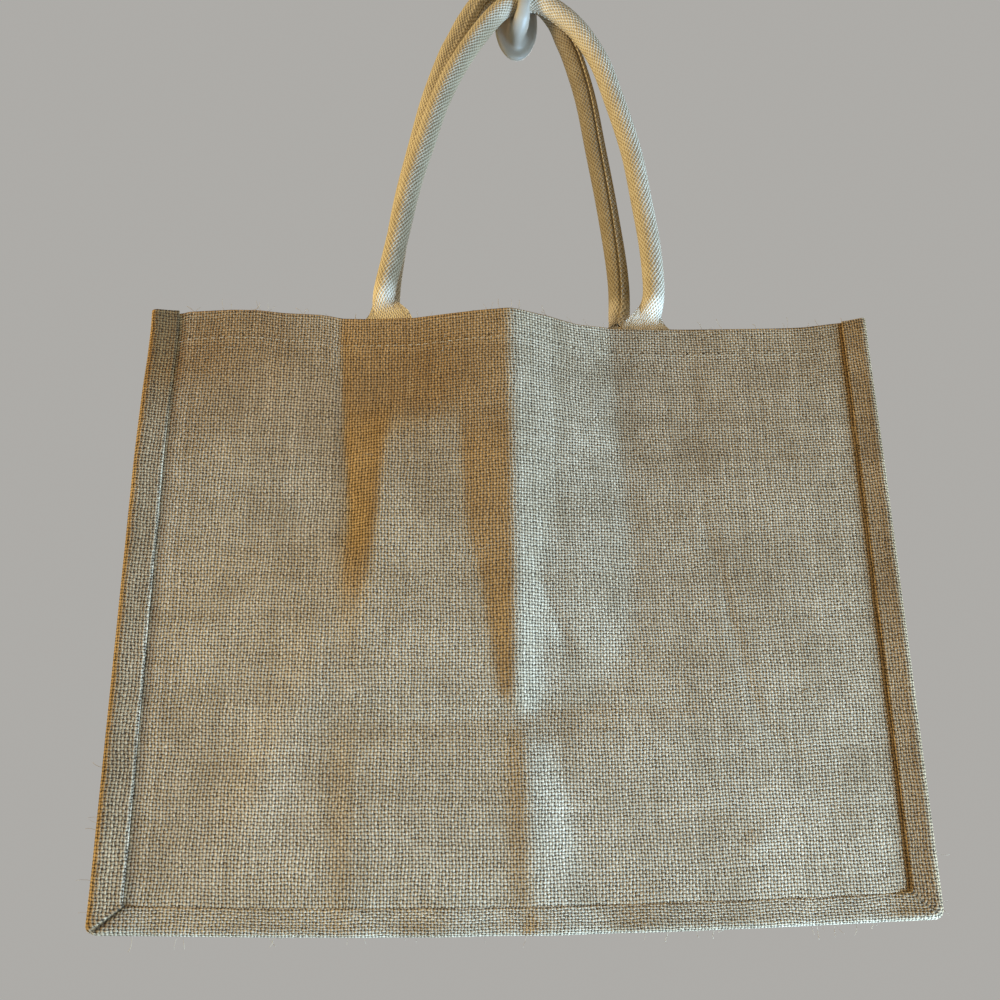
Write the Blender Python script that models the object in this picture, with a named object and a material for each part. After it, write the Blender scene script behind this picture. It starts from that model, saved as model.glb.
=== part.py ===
"""Burlap tote bag hanging by its two corded handles from a wall hook.

Units are metres and +Z is up. The wall is the plane Y = 0 and everything is on its -Y side, towards the
viewer. The origin is the middle of the hook plate's back face.

A place on the bag is given by two lengths: across, to the right of the bag's own middle line, and below, down
from the tops of its side bands. front_depth and back_depth give the Y of its two faces there, so the panels,
the gusset strip and the sewn-in ends of the handles all lie in the same folds.
"""

import math

import bmesh
import bpy
import numpy as np
from mathutils import Vector

# Bag, as it hangs
BAG_WIDTH = 0.430
BAG_HEIGHT = 0.341
BAG_MIDDLE_X = -0.007
BAG_TOP_Z = -0.261
BOTTOM_SAG = 0.004
FRONT_Y = -0.042
BACK_Y = -0.012
HALF_WIDTH = BAG_WIDTH / 2

# Cloth
CLOTH = 0.0013
AIR = 0.00035
HEM = 0.020
HEM_STEP = 0.0008
PANEL_DROP = 0.002
PANEL_INSET = 0.003
PANEL_CORNER_CUT = 0.004

# Gusset strip: its folded edges show as bands, and its middle folds in between the panels
BAND_WIDTH = 0.0135
BAND_THICKNESS = 0.0018
BAND_ROUNDING = 0.0006
GUSSET_REACH = 0.090
GUSSET_FOLD_RADIUS = 0.003
SLOT = 2 * CLOTH + 2 * AIR

# How much wider each side band is than that, at the top and at the bottom of the bag
LEFT_BAND_EXTRA = (0.0021, 0.0032)
RIGHT_BAND_EXTRA = (0.0005, 0.0015)

# Corner radius of the gusset's path at a given distance in from the bag's edge
CORNER_INSETS = (0.0, BAND_WIDTH, GUSSET_REACH)
CORNER_RADII = (0.0045, 0.002, 0.022)

# How strongly the cross lines of a shorter path gather towards its corners, at a given distance in
GATHER_INSETS = (BAND_WIDTH, 0.050)
GATHER_POWERS = (3.0, 1.4)

# Handles: webbing folded round a cord, opened flat at its ends
CORD_RADIUS = 0.0068
SEAM_HEIGHT = 0.0010
TAIL_HALF_WIDTH = 0.021
TAIL_HALF_THICKNESS = 0.0010
TAIL_PLACES = (0.034, 0.024, 0.014, 0.007, 0.0025)
TAIL_AIR = 0.0006
TAIL_SQUARENESS = 0.35
FLARE_HEIGHT = 0.019
FLARE_HALF_WIDTH = 0.0150
FLARE_POWER = 1.6
FLARE_DEPTH = 0.014
HANDLE_STEP = 0.010
CURVE_STEPS = 24

# Wall hook
PLATE_HALF_WIDTH = 0.0152
PLATE_HALF_STRAIGHT = 0.010
PLATE_END = 0.0305
PLATE_THICKNESS = 0.0045
PLATE_ROUNDING = 0.0020
PLATE_END_STEPS = 16
PRONG_SIDES = 12
PRONG_SQUARENESS = 0.6

# The middle fold of the front panel, which the bag kept from lying folded in half. Each row is one height.
# The panel rises from the left foot to the peak and falls to the right foot and the rim beyond it. Depths are
# forward of the panel's side edges, in millimetres, as are all the lengths here.
RIDGE_ACROSS = -4.0
RIM_ACROSS = 105.0
FRONT_FOLD = (
    # below, left foot, its depth, peak depth, right foot, its depth, rim depth
    (0.0, -99.0, -3.0, 14.0, 56.0, -9.0, -8.5),
    (75.0, -99.0, -2.5, 11.0, 52.0, -7.0, -5.0),
    (130.0, -98.0, -2.0, 9.0, 34.0, -4.0, -2.5),
    (165.0, -78.0, -1.5, 8.0, 16.0, -1.0, -1.0),
    (200.0, -46.0, -1.0, 5.5, 11.0, 0.0, 0.0),
    (233.0, -12.0, 0.0, -1.0, 8.0, 0.5, 0.0),
    (250.0, -20.0, 0.0, 3.5, 10.0, 0.0, 0.0),
    (285.0, -21.0, 0.5, 5.0, 22.0, -0.5, 0.0),
    (325.0, -14.0, 0.5, 4.0, 31.0, -0.5, 0.0),
    (343.0, -14.0, 0.3, 3.0, 30.0, 0.0, 0.0),
)
FRONT_BELLY = 3.0
FOLD_SOFTNESS = 6.0
SOFTENING_SHARES = (-1, -0.5, 0, 0.5, 1)

# A low mound beside the middle fold
MOUND_PLACE = (30.0, 172.0)
MOUND_SIZE = (17.0, 30.0)
MOUND_DEPTH = 3.0

# Ripples in the bottom edge
RIPPLE_DEPTH = 1.0
RIPPLE_LENGTH = 58.0
RIPPLE_REACH = 95.0
RIPPLE_HEIGHT = 30.0

# The back panel is creased the same way, so its middle lies forward
BACK_FOLD = (
    # below, half width of the fold, depth at its middle
    (0.0, 75.0, 8.0),
    (120.0, 70.0, 7.0),
    (230.0, 45.0, 3.0),
    (343.0, 40.0, 4.0),
)
BACK_BELLY = 4.0

# Where the panels' and the gusset's cross lines lie, closer together where the cloth bends more (millimetres)
PANEL_COLUMNS = (
    -201.5, -186, -160, -135, -115, -99, -82, -65, -48, -32, -20, -12, -4,
    2, 8, 18, 30, 43, 56, 72, 88, 105, 125, 150, 175, 201.5,
)
FRONT_ROWS = (40, 57, 75, 93, 111, 130, 148, 165, 182, 200, 216, 226, 233, 241, 250, 267, 285, 305, 327.5)
BACK_ROWS = (45, 80, 120, 160, 200, 230, 260, 295, 327.5)
GUSSET_ROWS = (0, 22, 57, 93, 130, 165, 200, 250, 300)
GUSSET_LEG = (3.0, 22.0, 48.0, 74.0, 90.0)
CORNER_STEPS = 4
TURN_ANGLES = (45, 90, 135)

# The handles' middle lines, from the left base over the hook to the right base (millimetres)
FRONT_HANDLE_ROUTE = (
    # x, y, z
    (-85.0, -38.8, -262.0),
    (-87.0, -37.6, -246.0),
    (-81.2, -35.0, -213.5),
    (-71.8, -31.8, -163.7),
    (-63.4, -29.4, -131.2),
    (-54.0, -26.8, -96.6),
    (-39.8, -24.4, -61.3),
    (-20.5, -22.4, -27.5),
    (-7.0, -22.4, -12.6),
    (6.0, -23.6, -9.2),
    (18.4, -25.9, -13.7),
    (37.8, -27.3, -32.6),
    (53.1, -27.0, -59.3),
    (62.3, -26.3, -88.9),
    (72.1, -26.8, -130.6),
    (77.0, -27.6, -169.0),
    (80.7, -28.4, -205.8),
    (80.8, -29.2, -238.0),
    (75.5, -29.6, -262.0),
)
BACK_HANDLE_ROUTE = (
    # x, y, z
    (-84.0, -16.5, -262.0),
    (-84.8, -16.0, -235.0),
    (-82.0, -15.5, -205.0),
    (-76.5, -14.9, -165.0),
    (-67.2, -14.2, -119.5),
    (-59.8, -13.6, -85.8),
    (-49.4, -12.8, -51.0),
    (-42.2, -12.4, -33.2),
    (-34.6, -12.2, -16.2),
    (-23.8, -12.0, -0.2),
    (-3.0, -12.0, 8.0),
    (16.0, -11.9, -0.5),
    (27.1, -11.8, -15.0),
    (33.0, -11.8, -31.4),
    (38.2, -12.2, -48.3),
    (45.5, -13.0, -81.5),
    (50.8, -14.0, -121.8),
    (57.2, -15.0, -172.2),
    (61.5, -16.0, -222.5),
    (60.0, -16.5, -262.0),
)

# Angles round the handle from its seam, and how far the seam turns to the inside of the loop along the way
SECTION_ANGLES = (0, 14, 40, 68, 96, 124, 152, 180, 208, 236, 264, 292, 320, 346)
SEAM_TURN_PLACES = (0.1, 0.25, 0.42, 0.62, 0.9)
SEAM_TURNS_FRONT = (0, 10, 10, 10, 0)
SEAM_TURNS_BACK = (0, 25, 45, -40, 0)

# The prong's sections from the plate to the tip: outer and inner edge in the Y-Z plane, and half widths (mm).
# Its root is a saddle that carries the back handle, and the front handle lies in the seat before it.
PRONG = (
    # outer y, outer z, inner y, inner z, outer half width, inner half width
    (-1.5, -37.6, -1.5, 3.0, 3.0, 4.2),
    (-6.0, -36.8, -6.0, 1.0, 4.6, 4.2),
    (-10.0, -35.8, -11.2, -0.4, 5.6, 4.2),
    (-13.6, -34.8, -13.6, -3.8, 6.2, 4.2),
    (-17.0, -33.2, -14.2, -11.5, 6.6, 4.2),
    (-21.0, -31.0, -17.2, -19.0, 6.7, 4.6),
    (-27.0, -26.8, -23.0, -19.2, 6.0, 4.8),
    (-32.3, -20.5, -28.7, -16.8, 4.6, 4.2),
    (-35.1, -11.5, -31.0, -10.6, 3.9, 3.7),
    (-36.3, -1.5, -31.6, -1.5, 3.8, 3.6),
    (-36.8, 6.5, -32.0, 7.0, 3.9, 3.6),
    (-36.4, 10.6, -32.8, 11.0, 3.3, 3.0),
    (-35.4, 12.2, -33.8, 12.4, 1.8, 1.6),
)

BURLAP = (0.42, 0.32, 0.20, 1)
COTTON = (0.66, 0.55, 0.36, 1)
HOOK_WHITE = (0.74, 0.74, 0.73, 1)


def clear_scene():
    for thing in list(bpy.data.objects):
        bpy.data.objects.remove(thing, do_unlink=True)


def material(name, colour, roughness):
    made = bpy.data.materials.new(name)
    made.use_nodes = True
    shader = made.node_tree.nodes["Principled BSDF"]
    shader.inputs["Base Color"].default_value = colour
    shader.inputs["Roughness"].default_value = roughness
    shader.inputs["Metallic"].default_value = 0.0
    return made


def blend(a, b, share):
    return a + (b - a) * share


def ease(value):
    """0 below 0, 1 above 1, and a smooth step between."""
    value = min(max(value, 0.0), 1.0)
    return value * value * (3 - 2 * value)


def powered(value, power):
    """A value's power with its sign kept."""
    return math.copysign(abs(value) ** power, value)


def millimetres(values):
    return [0.001 * value for value in values]


# --- The bag's two faces ---


def fold_line(table, below_mm):
    """The row of a fold table at one height, read between its rows."""
    heights = [row[0] for row in table]
    return [np.interp(below_mm, heights, column) for column in list(zip(*table))[1:]]


def softened(profile, at, reach):
    """A profile's mean over a short stretch, which rounds its corners."""
    return sum(profile(at + share * reach) for share in SOFTENING_SHARES) / len(SOFTENING_SHARES)


def belly(across_mm, below_mm):
    share_across = min(abs(across_mm) / (1000 * HALF_WIDTH), 1)
    share_down = min(max(below_mm / (1000 * BAG_HEIGHT), 0), 1)
    return (1 - share_across**2) * math.sin(math.pi * share_down)


def front_depth(across, below):
    """Y of the front panel's outer face."""
    across_mm = 1000 * across
    below_mm = max(1000 * below, 0)
    left, left_depth, peak, right, right_depth, rim = fold_line(FRONT_FOLD, below_mm)
    edge = 1000 * HALF_WIDTH
    places = (-edge, left, RIDGE_ACROSS, right, RIM_ACROSS, edge)
    depths = (0, left_depth, peak, right_depth, rim, 0)
    depth = softened(lambda place: np.interp(place, places, depths), across_mm, FOLD_SOFTNESS)
    mound_x = (across_mm - MOUND_PLACE[0]) / MOUND_SIZE[0]
    mound_z = (below_mm - MOUND_PLACE[1]) / MOUND_SIZE[1]
    depth += MOUND_DEPTH * math.exp(-(mound_x**2) - mound_z**2)
    depth += FRONT_BELLY * belly(across_mm, below_mm)
    low = ease(1 - (1000 * BAG_HEIGHT - below_mm) / RIPPLE_HEIGHT)
    near = ease(2 - 2 * abs(across_mm) / RIPPLE_REACH)
    depth += RIPPLE_DEPTH * low * near * math.sin(2 * math.pi * across_mm / RIPPLE_LENGTH)
    return FRONT_Y - 0.001 * depth


def back_depth(across, below):
    """Y of the back panel's outer face, which is turned to the wall."""
    across_mm = 1000 * across
    below_mm = max(1000 * below, 0)
    half, middle = fold_line(BACK_FOLD, below_mm)
    depth = softened(lambda place: np.interp(abs(place), (0, half), (middle, 0)), across_mm, FOLD_SOFTNESS)
    depth -= BACK_BELLY * belly(across_mm, below_mm)
    return BACK_Y - 0.001 * depth


def on_bag(across, below, y):
    """A point of the bag.

    The bottom edge sags in the middle, and what is above it follows in proportion. The side bands are
    stretched to their own widths.
    """
    down = max(below, 0) / BAG_HEIGHT
    sag = BOTTOM_SAG * (1 - (across / HALF_WIDTH) ** 2) * down
    top_extra, bottom_extra = LEFT_BAND_EXTRA if across < 0 else RIGHT_BAND_EXTRA
    in_band = max(abs(across) - (HALF_WIDTH - BAND_WIDTH), 0) / BAND_WIDTH
    stretch = math.copysign(in_band * blend(top_extra, bottom_extra, down), across)
    return Vector((BAG_MIDDLE_X + across + stretch, y, BAG_TOP_Z - below - sag))


# --- Meshes ---


def finish(name, bm, look, sharp_angle):
    bmesh.ops.remove_doubles(bm, verts=bm.verts, dist=1e-6)
    bmesh.ops.recalc_face_normals(bm, faces=bm.faces)
    mesh = bpy.data.meshes.new(name)
    bm.to_mesh(mesh)
    bm.free()
    mesh.shade_smooth()
    mesh.set_sharp_from_angle(angle=math.radians(sharp_angle))
    mesh.materials.append(look)
    made = bpy.data.objects.new(name, mesh)
    bpy.context.scene.collection.objects.link(made)
    return made


def cloth_solid(name, rows, look):
    """A closed sheet from rows of point pairs: each pair is the cloth's outer and inner face at one place."""
    bm = bmesh.new()
    outer = [[bm.verts.new(pair[0]) for pair in row] for row in rows]
    inner = [[bm.verts.new(pair[1]) for pair in row] for row in rows]
    places = range(len(rows[0]) - 1)
    for above, under in zip(outer, outer[1:]):
        for c in places:
            bm.faces.new((above[c], above[c + 1], under[c + 1], under[c]))
    for above, under in zip(inner, inner[1:]):
        for c in places:
            bm.faces.new((above[c], under[c], under[c + 1], above[c + 1]))
    for c in places:
        bm.faces.new((outer[0][c], inner[0][c], inner[0][c + 1], outer[0][c + 1]))
        bm.faces.new((outer[-1][c], outer[-1][c + 1], inner[-1][c + 1], inner[-1][c]))
    for r in range(len(rows) - 1):
        bm.faces.new((outer[r][0], outer[r + 1][0], inner[r + 1][0], inner[r][0]))
        bm.faces.new((outer[r][-1], inner[r][-1], inner[r + 1][-1], outer[r + 1][-1]))
    return finish(name, bm, look, 50)


def loft(name, rings, look, sharp_angle):
    """A closed solid through rings of the same number of points, capped at both ends."""
    bm = bmesh.new()
    made = [[bm.verts.new(point) for point in ring] for ring in rings]
    count = len(rings[0])
    for ring, after in zip(made, made[1:]):
        for i in range(count):
            j = (i + 1) % count
            bm.faces.new((ring[i], ring[j], after[j], after[i]))
    bm.faces.new(made[0])
    bm.faces.new(list(reversed(made[-1])))
    return finish(name, bm, look, sharp_angle)


# --- Panels ---


def panel(name, rows_mm, depth, inward, look):
    """A panel whose top hem is turned in. inward is +1 where the inside of the bag is towards +Y, else -1."""
    edge = HALF_WIDTH - PANEL_INSET
    columns = [-edge] + millimetres(PANEL_COLUMNS) + [edge]
    hem_end = PANEL_DROP + HEM
    # Rows as (below, outer face, inner face): the top is a rounded fold, and the hem ends in a step.
    rows = [(PANEL_DROP, 0.5 * CLOTH, 1.5 * CLOTH), (PANEL_DROP + 0.5 * CLOTH, 0.0, 2 * CLOTH)]
    rows += [(hem_end, 0.0, 2 * CLOTH), (hem_end + HEM_STEP, 0.0, CLOTH)]
    rows += [(below, 0.0, CLOTH) for below in millimetres(rows_mm)]
    rows.append((BAG_HEIGHT - PANEL_INSET, 0.0, CLOTH))
    grid = []
    for below, outer, inner in rows:
        # The bottom corners are cut off a little, inside the rounded corners of the gusset.
        widest = edge - PANEL_CORNER_CUT * (below == rows[-1][0])
        line = []
        for column in columns:
            across = max(-widest, min(column, widest))
            y = depth(across, below)
            line.append(tuple(on_bag(across, below, y + inward * face) for face in (outer, inner)))
        grid.append(line)
    return cloth_solid(name, grid, look)


# --- Gusset ---


def gathered(place, straight, shorter, inset):
    """Moves a place along a straight side that is shorter at this inset, most of all near its end."""
    power = np.interp(inset, GATHER_INSETS, GATHER_POWERS)
    return place - (place / straight) ** power * shorter


def gusset_path(inset):
    """(across, below) along the gusset at one distance in from the bag's edge, from top left to top right."""
    radius = float(np.interp(inset, CORNER_INSETS, CORNER_RADII))
    side = BAG_HEIGHT - CORNER_RADII[0]
    half_bottom = HALF_WIDTH - CORNER_RADII[0]
    lost = inset + radius - CORNER_RADII[0]
    left = []
    for below in millimetres(GUSSET_ROWS) + [side]:
        left.append((-HALF_WIDTH + inset, gathered(below, side, lost, inset)))
    centre = (-HALF_WIDTH + inset + radius, BAG_HEIGHT - inset - radius)
    for step in range(1, CORNER_STEPS):
        angle = math.pi / 2 * step / CORNER_STEPS
        left.append((centre[0] - radius * math.cos(angle), centre[1] + radius * math.sin(angle)))
    bottom = []
    for across in [-half_bottom] + millimetres(PANEL_COLUMNS[1:-1]) + [half_bottom]:
        moved = gathered(abs(across), half_bottom, lost, inset)
        bottom.append((math.copysign(moved, across), BAG_HEIGHT - inset))
    right = [(-across, below) for across, below in reversed(left)]
    return left + bottom + right


def edge_section():
    """Half of the gusset's section: from the band's folded edge, round the panel's edge, to the middle fold.

    Each entry is a pair of spots, one on either face of the cloth. A spot is its distance in from the bag's
    edge, an offset inwards from the panel's outer face, an offset from the middle fold, and its share of the
    way from the one to the other.
    """
    band_in = -AIR
    band_out = band_in - BAND_THICKNESS
    leg = SLOT - AIR
    slot_middle = (band_in + leg) / 2
    turn_middle = (band_out + leg + CLOTH) / 2
    pairs = [
        ((BAND_WIDTH, band_out + BAND_ROUNDING, 0, 0), (BAND_WIDTH, band_in - BAND_ROUNDING, 0, 0)),
        ((BAND_WIDTH - BAND_ROUNDING, band_out, 0, 0), (BAND_WIDTH - BAND_ROUNDING, band_in, 0, 0)),
        ((PANEL_INSET, band_out, 0, 0), (PANEL_INSET, band_in, 0, 0)),
    ]
    for angle in TURN_ANGLES:
        sine = math.sin(math.radians(angle))
        cosine = math.cos(math.radians(angle))
        outer = (PANEL_INSET * (1 - sine), turn_middle - (turn_middle - band_out) * cosine, 0, 0)
        inner = (PANEL_INSET - SLOT / 2 * sine, slot_middle - SLOT / 2 * cosine, 0, 0)
        pairs.append((outer, inner))
    start = GUSSET_LEG[0]
    for place in GUSSET_LEG:
        share = (place - start) / (GUSSET_LEG[-1] - start)
        inset = 0.001 * place
        outer = (inset, leg + CLOTH, CLOTH - GUSSET_FOLD_RADIUS, share)
        inner = (inset, leg, -GUSSET_FOLD_RADIUS, share)
        pairs.append((outer, inner))
    return pairs


def middle_fold():
    pairs = []
    for angle in TURN_ANGLES:
        sine = math.sin(math.radians(angle))
        cosine = math.cos(math.radians(angle))
        radii = (GUSSET_FOLD_RADIUS - CLOTH, GUSSET_FOLD_RADIUS)
        pairs.append(tuple((GUSSET_REACH + radius * sine, 0, -radius * cosine, 1) for radius in radii))
    return pairs


def gusset_point(station, spot, inward):
    """A spot of the section at one station of the path. inward is +1 at the front panel, -1 at the back."""
    inset, from_face, from_middle, share = spot
    across, below = gusset_path(inset)[station]
    front = front_depth(across, below)
    back = back_depth(across, below)
    face = front if inward > 0 else back
    y = blend(face + inward * from_face, (front + back) / 2 + inward * from_middle, share)
    return on_bag(across, below, y)


def gusset(name, look):
    """One strip down the left side, along the bottom and up the right side."""
    section = [(outer, inner, 1) for outer, inner in edge_section() + middle_fold()]
    section += [(outer, inner, -1) for outer, inner in reversed(edge_section())]
    rows = []
    for station in range(len(gusset_path(0))):
        row = []
        for outer, inner, inward in section:
            row.append((gusset_point(station, outer, inward), gusset_point(station, inner, inward)))
        rows.append(row)
    return cloth_solid(name, rows, look)


# --- Handles ---


def smooth_route(points_mm, step):
    """Points a step apart along a smooth curve through the route."""
    knots = np.array(points_mm) * 0.001
    padded = np.vstack((2 * knots[0] - knots[1], knots, 2 * knots[-1] - knots[-2]))
    fine = []
    for i in range(1, len(padded) - 2):
        before, start, end, after = padded[i - 1 : i + 3]
        for share in np.linspace(0, 1, CURVE_STEPS, endpoint=False):
            linear = (end - before) * share
            square = (2 * before - 5 * start + 4 * end - after) * share**2
            cube = (3 * start - before - 3 * end + after) * share**3
            fine.append(start + 0.5 * (linear + square + cube))
    fine.append(padded[-2])
    fine = np.array(fine)
    along = np.concatenate(((0,), np.cumsum(np.linalg.norm(np.diff(fine, axis=0), axis=1))))
    places = np.linspace(0, along[-1], round(along[-1] / step) + 1)
    return np.array([[np.interp(place, along, fine[:, axis]) for axis in range(3)] for place in places])


def flat_share(below):
    """0 on the round cord, 1 where the webbing is opened flat."""
    return ease((below + FLARE_HEIGHT) / FLARE_HEIGHT)


def half_width(below):
    if below < 0:
        return blend(CORD_RADIUS, FLARE_HALF_WIDTH, flat_share(below) ** FLARE_POWER)
    return blend(FLARE_HALF_WIDTH, TAIL_HALF_WIDTH, ease(below / FLARE_DEPTH))


def handle(name, route_mm, depth, inward, seam_turns, look):
    """A corded handle. inward is the side of its panel that it is sewn to, as in panel()."""
    route = smooth_route(route_mm, HANDLE_STEP)
    down = [Vector((route[0][0], route[0][1], BAG_TOP_Z - below)) for below in TAIL_PLACES]
    up = [Vector((route[-1][0], route[-1][1], BAG_TOP_Z - below)) for below in reversed(TAIL_PLACES)]
    middle = [Vector(point) for point in route if point[2] > BAG_TOP_Z]
    centres = down + middle + up
    seam_side = Vector((0, inward, 0))
    tail_middle = inward * (2 * CLOTH + TAIL_AIR + TAIL_HALF_THICKNESS)
    rings = []
    for i, centre in enumerate(centres):
        before = centres[max(i - 1, 0)]
        after = centres[min(i + 1, len(centres) - 1)]
        along = (after - before).normalized()
        facing = (seam_side - along * seam_side.dot(along)).normalized()
        sideways = along.cross(Vector((0, -1, 0))).normalized()
        below = BAG_TOP_Z - centre.z
        flat = flat_share(below)
        turn = np.interp(i / (len(centres) - 1), SEAM_TURN_PLACES, seam_turns) * (1 - flat)
        wide = half_width(below)
        thick = blend(CORD_RADIUS, TAIL_HALF_THICKNESS, flat)
        squareness = blend(1.0, TAIL_SQUARENESS, flat)
        ring = []
        for degrees in SECTION_ANGLES:
            angle = math.radians(degrees + turn)
            seam = SEAM_HEIGHT * (degrees == 0) * (1 - flat)
            side = powered(math.sin(angle), squareness)
            out = powered(math.cos(angle), squareness)
            point = centre + sideways * (side * (wide + seam)) + facing * (out * (thick + seam))
            lying = depth(point.x - BAG_MIDDLE_X, below) + tail_middle + inward * out * thick
            point.y = blend(point.y, lying, flat)
            ring.append(point)
        rings.append(ring)
    return loft(name, rings, look, 60)


# --- Hook ---


def plate_outline(inset):
    points = []
    for middle, start in ((PLATE_HALF_STRAIGHT, 0), (-PLATE_HALF_STRAIGHT, 180)):
        for step in range(PLATE_END_STEPS + 1):
            angle = math.radians(start + 180 * step / PLATE_END_STEPS)
            x = (PLATE_HALF_WIDTH - inset) * math.cos(angle)
            z = middle + (PLATE_END - inset) * math.sin(angle)
            points.append((x, z))
    return points


def wall_hook(name, look):
    """The plate's edge is rounded at its front, and the prong is joined to it."""
    soft = 0.3 * PLATE_ROUNDING
    levels = (
        # distance from the wall, inset
        (0.0, 0.0),
        (PLATE_THICKNESS - PLATE_ROUNDING, 0.0),
        (PLATE_THICKNESS - soft, soft),
        (PLATE_THICKNESS, PLATE_ROUNDING),
    )
    rings = [[Vector((x, -level, z)) for x, z in plate_outline(inset)] for level, inset in levels]
    plate = loft(name, rings, look, 40)
    sections = []
    for outer_y, outer_z, inner_y, inner_z, outer_half, inner_half in PRONG:
        ring = []
        for step in range(PRONG_SIDES):
            angle = 2 * math.pi * (step + 0.5) / PRONG_SIDES
            share = 0.5 + 0.5 * powered(math.sin(angle), PRONG_SQUARENESS)
            x = powered(math.cos(angle), PRONG_SQUARENESS) * blend(outer_half, inner_half, share)
            ring.append(0.001 * Vector((x, blend(outer_y, inner_y, share), blend(outer_z, inner_z, share))))
        sections.append(ring)
    prong = loft(name + "_prong", sections, look, 40)
    prong.hide_render = True
    prong.display_type = "WIRE"
    join = plate.modifiers.new("join_prong", "BOOLEAN")
    join.operation = "UNION"
    join.solver = "EXACT"
    join.object = prong
    return plate


clear_scene()
burlap = material("burlap", BURLAP, 0.95)
cotton = material("cotton_webbing", COTTON, 0.85)
white = material("hook_white", HOOK_WHITE, 0.4)
panel("front_panel", FRONT_ROWS, front_depth, 1, burlap)
panel("back_panel", BACK_ROWS, back_depth, -1, burlap)
gusset("gusset", burlap)
handle("handle_front", FRONT_HANDLE_ROUTE, front_depth, 1, SEAM_TURNS_FRONT, cotton)
handle("handle_back", BACK_HANDLE_ROUTE, back_depth, -1, SEAM_TURNS_BACK, cotton)
wall_hook("wall_hook", white)
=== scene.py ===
# %% [markdown]
# # A burlap tote bag on its wall hook
#
# The real thing is four kinds of part: two panels of coarse jute cloth, one long gusset strip whose
# folded edges frame each panel, two handles of cotton webbing rolled round a cord, and a small moulded
# hook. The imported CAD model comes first, as a fixed frame. Each soft solid of it is then replaced by thin
# cloth that lies in the same folds. All lengths are metres, unless a name ends in mm.

# %% Load the frame
import math

import bmesh
import bpy
import numpy as np
from mathutils import Matrix, Vector


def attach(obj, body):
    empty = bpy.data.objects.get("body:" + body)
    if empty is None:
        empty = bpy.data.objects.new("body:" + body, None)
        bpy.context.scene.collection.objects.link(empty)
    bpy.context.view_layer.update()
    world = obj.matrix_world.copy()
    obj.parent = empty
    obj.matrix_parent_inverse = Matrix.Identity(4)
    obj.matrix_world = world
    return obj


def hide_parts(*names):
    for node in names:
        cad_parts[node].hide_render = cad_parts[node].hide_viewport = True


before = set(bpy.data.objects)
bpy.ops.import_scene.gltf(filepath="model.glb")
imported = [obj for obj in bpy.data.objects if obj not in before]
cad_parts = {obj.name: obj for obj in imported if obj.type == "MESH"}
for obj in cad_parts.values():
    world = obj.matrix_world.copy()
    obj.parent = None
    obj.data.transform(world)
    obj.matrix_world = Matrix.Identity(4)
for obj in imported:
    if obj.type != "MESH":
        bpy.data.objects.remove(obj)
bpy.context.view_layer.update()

# %% [markdown]
# ## Camera
#
# The camera stands in front of the bag and a little below its middle, tilted up, so the sides of the bag
# spread towards the bottom and the handles get smaller towards the hook. A camera is turned by three
# angles: it starts looking straight down, a turn of 90 degrees about X levels it, a bit more tilts it up,
# and the last small one leans the picture.

# %% Camera
CAMERA_PLACE = (-0.0502, -0.5867, -0.5405)
CAMERA_YAW = 3.39
CAMERA_PITCH = 16.7
CAMERA_ROLL = -0.69

bpy.ops.object.camera_add(location=CAMERA_PLACE)
camera = bpy.context.object
turn = Matrix.Rotation(math.radians(-CAMERA_YAW), 4, "Z")
tilt = Matrix.Rotation(math.radians(90 + CAMERA_PITCH), 4, "X")
lean = Matrix.Rotation(math.radians(CAMERA_ROLL), 4, "Z")
camera.rotation_euler = (turn @ tilt @ lean).to_euler()
camera.data.lens = 36
camera.data.sensor_width = 36
bpy.context.scene.camera = camera
print("camera at", CAMERA_PLACE, "lens", camera.data.lens)

# %% [markdown]
# ## Studio
#
# A coarse cloth shows its folds only where light grazes it. So warm lamps stand far round at the left and
# cool ones far round at the right, most of them low, and a pale one lights the back. The floor is a plain
# pale sheet well under the bag. The world gives the camera a pale grey to look at and the bag a weaker
# light of its own.

# %% Lights and floor
AIM = Vector((-0.007, -0.04, -0.42))
FLOOR_Z = -1.75
FLOOR_COLOUR = (0.62, 0.61, 0.59, 1)
BACKDROP_COLOUR = (0.42, 0.41, 0.39, 1)
WORLD_COLOUR = (1.0, 0.93, 0.60, 1)
WORLD_STRENGTH = 0.20
LAMPS = (
    # name, azimuth, elevation, distance, size, power, colour
    ("warm_lamp", -80, 0, 1.5, 0.5, 14, (1.0, 0.77, 0.23)),
    ("warm_top", -60, 25, 1.2, 0.6, 5.4, (1.0, 0.72, 0.47)),
    ("cool_window", 75, -43, 1.25, 0.7, 63, (0.42, 0.68, 1.0)),
    ("cool_side", 68, 0, 1.5, 0.5, 4, (0.80, 0.90, 1.0)),
    ("back_fill", 165, 25, 2.4, 1.4, 26, (1.0, 0.95, 0.88)),
)


def soft_light(name, azimuth, elevation, distance, size, power, colour):
    """A square area light aimed at the bag. Azimuth 0 is in front, and above 0 it is to the right."""
    a = math.radians(azimuth)
    e = math.radians(elevation)
    place = AIM + distance * Vector((math.sin(a) * math.cos(e), -math.cos(a) * math.cos(e), math.sin(e)))
    bpy.ops.object.light_add(type="AREA", location=place)
    lamp = bpy.context.object
    lamp.name = name
    lamp.data.shape = "SQUARE"
    lamp.data.size = size
    lamp.data.energy = power
    lamp.data.color = colour
    lamp.rotation_euler = (AIM - place).to_track_quat("-Z", "Y").to_euler()


for lamp in LAMPS:
    soft_light(*lamp)

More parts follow.
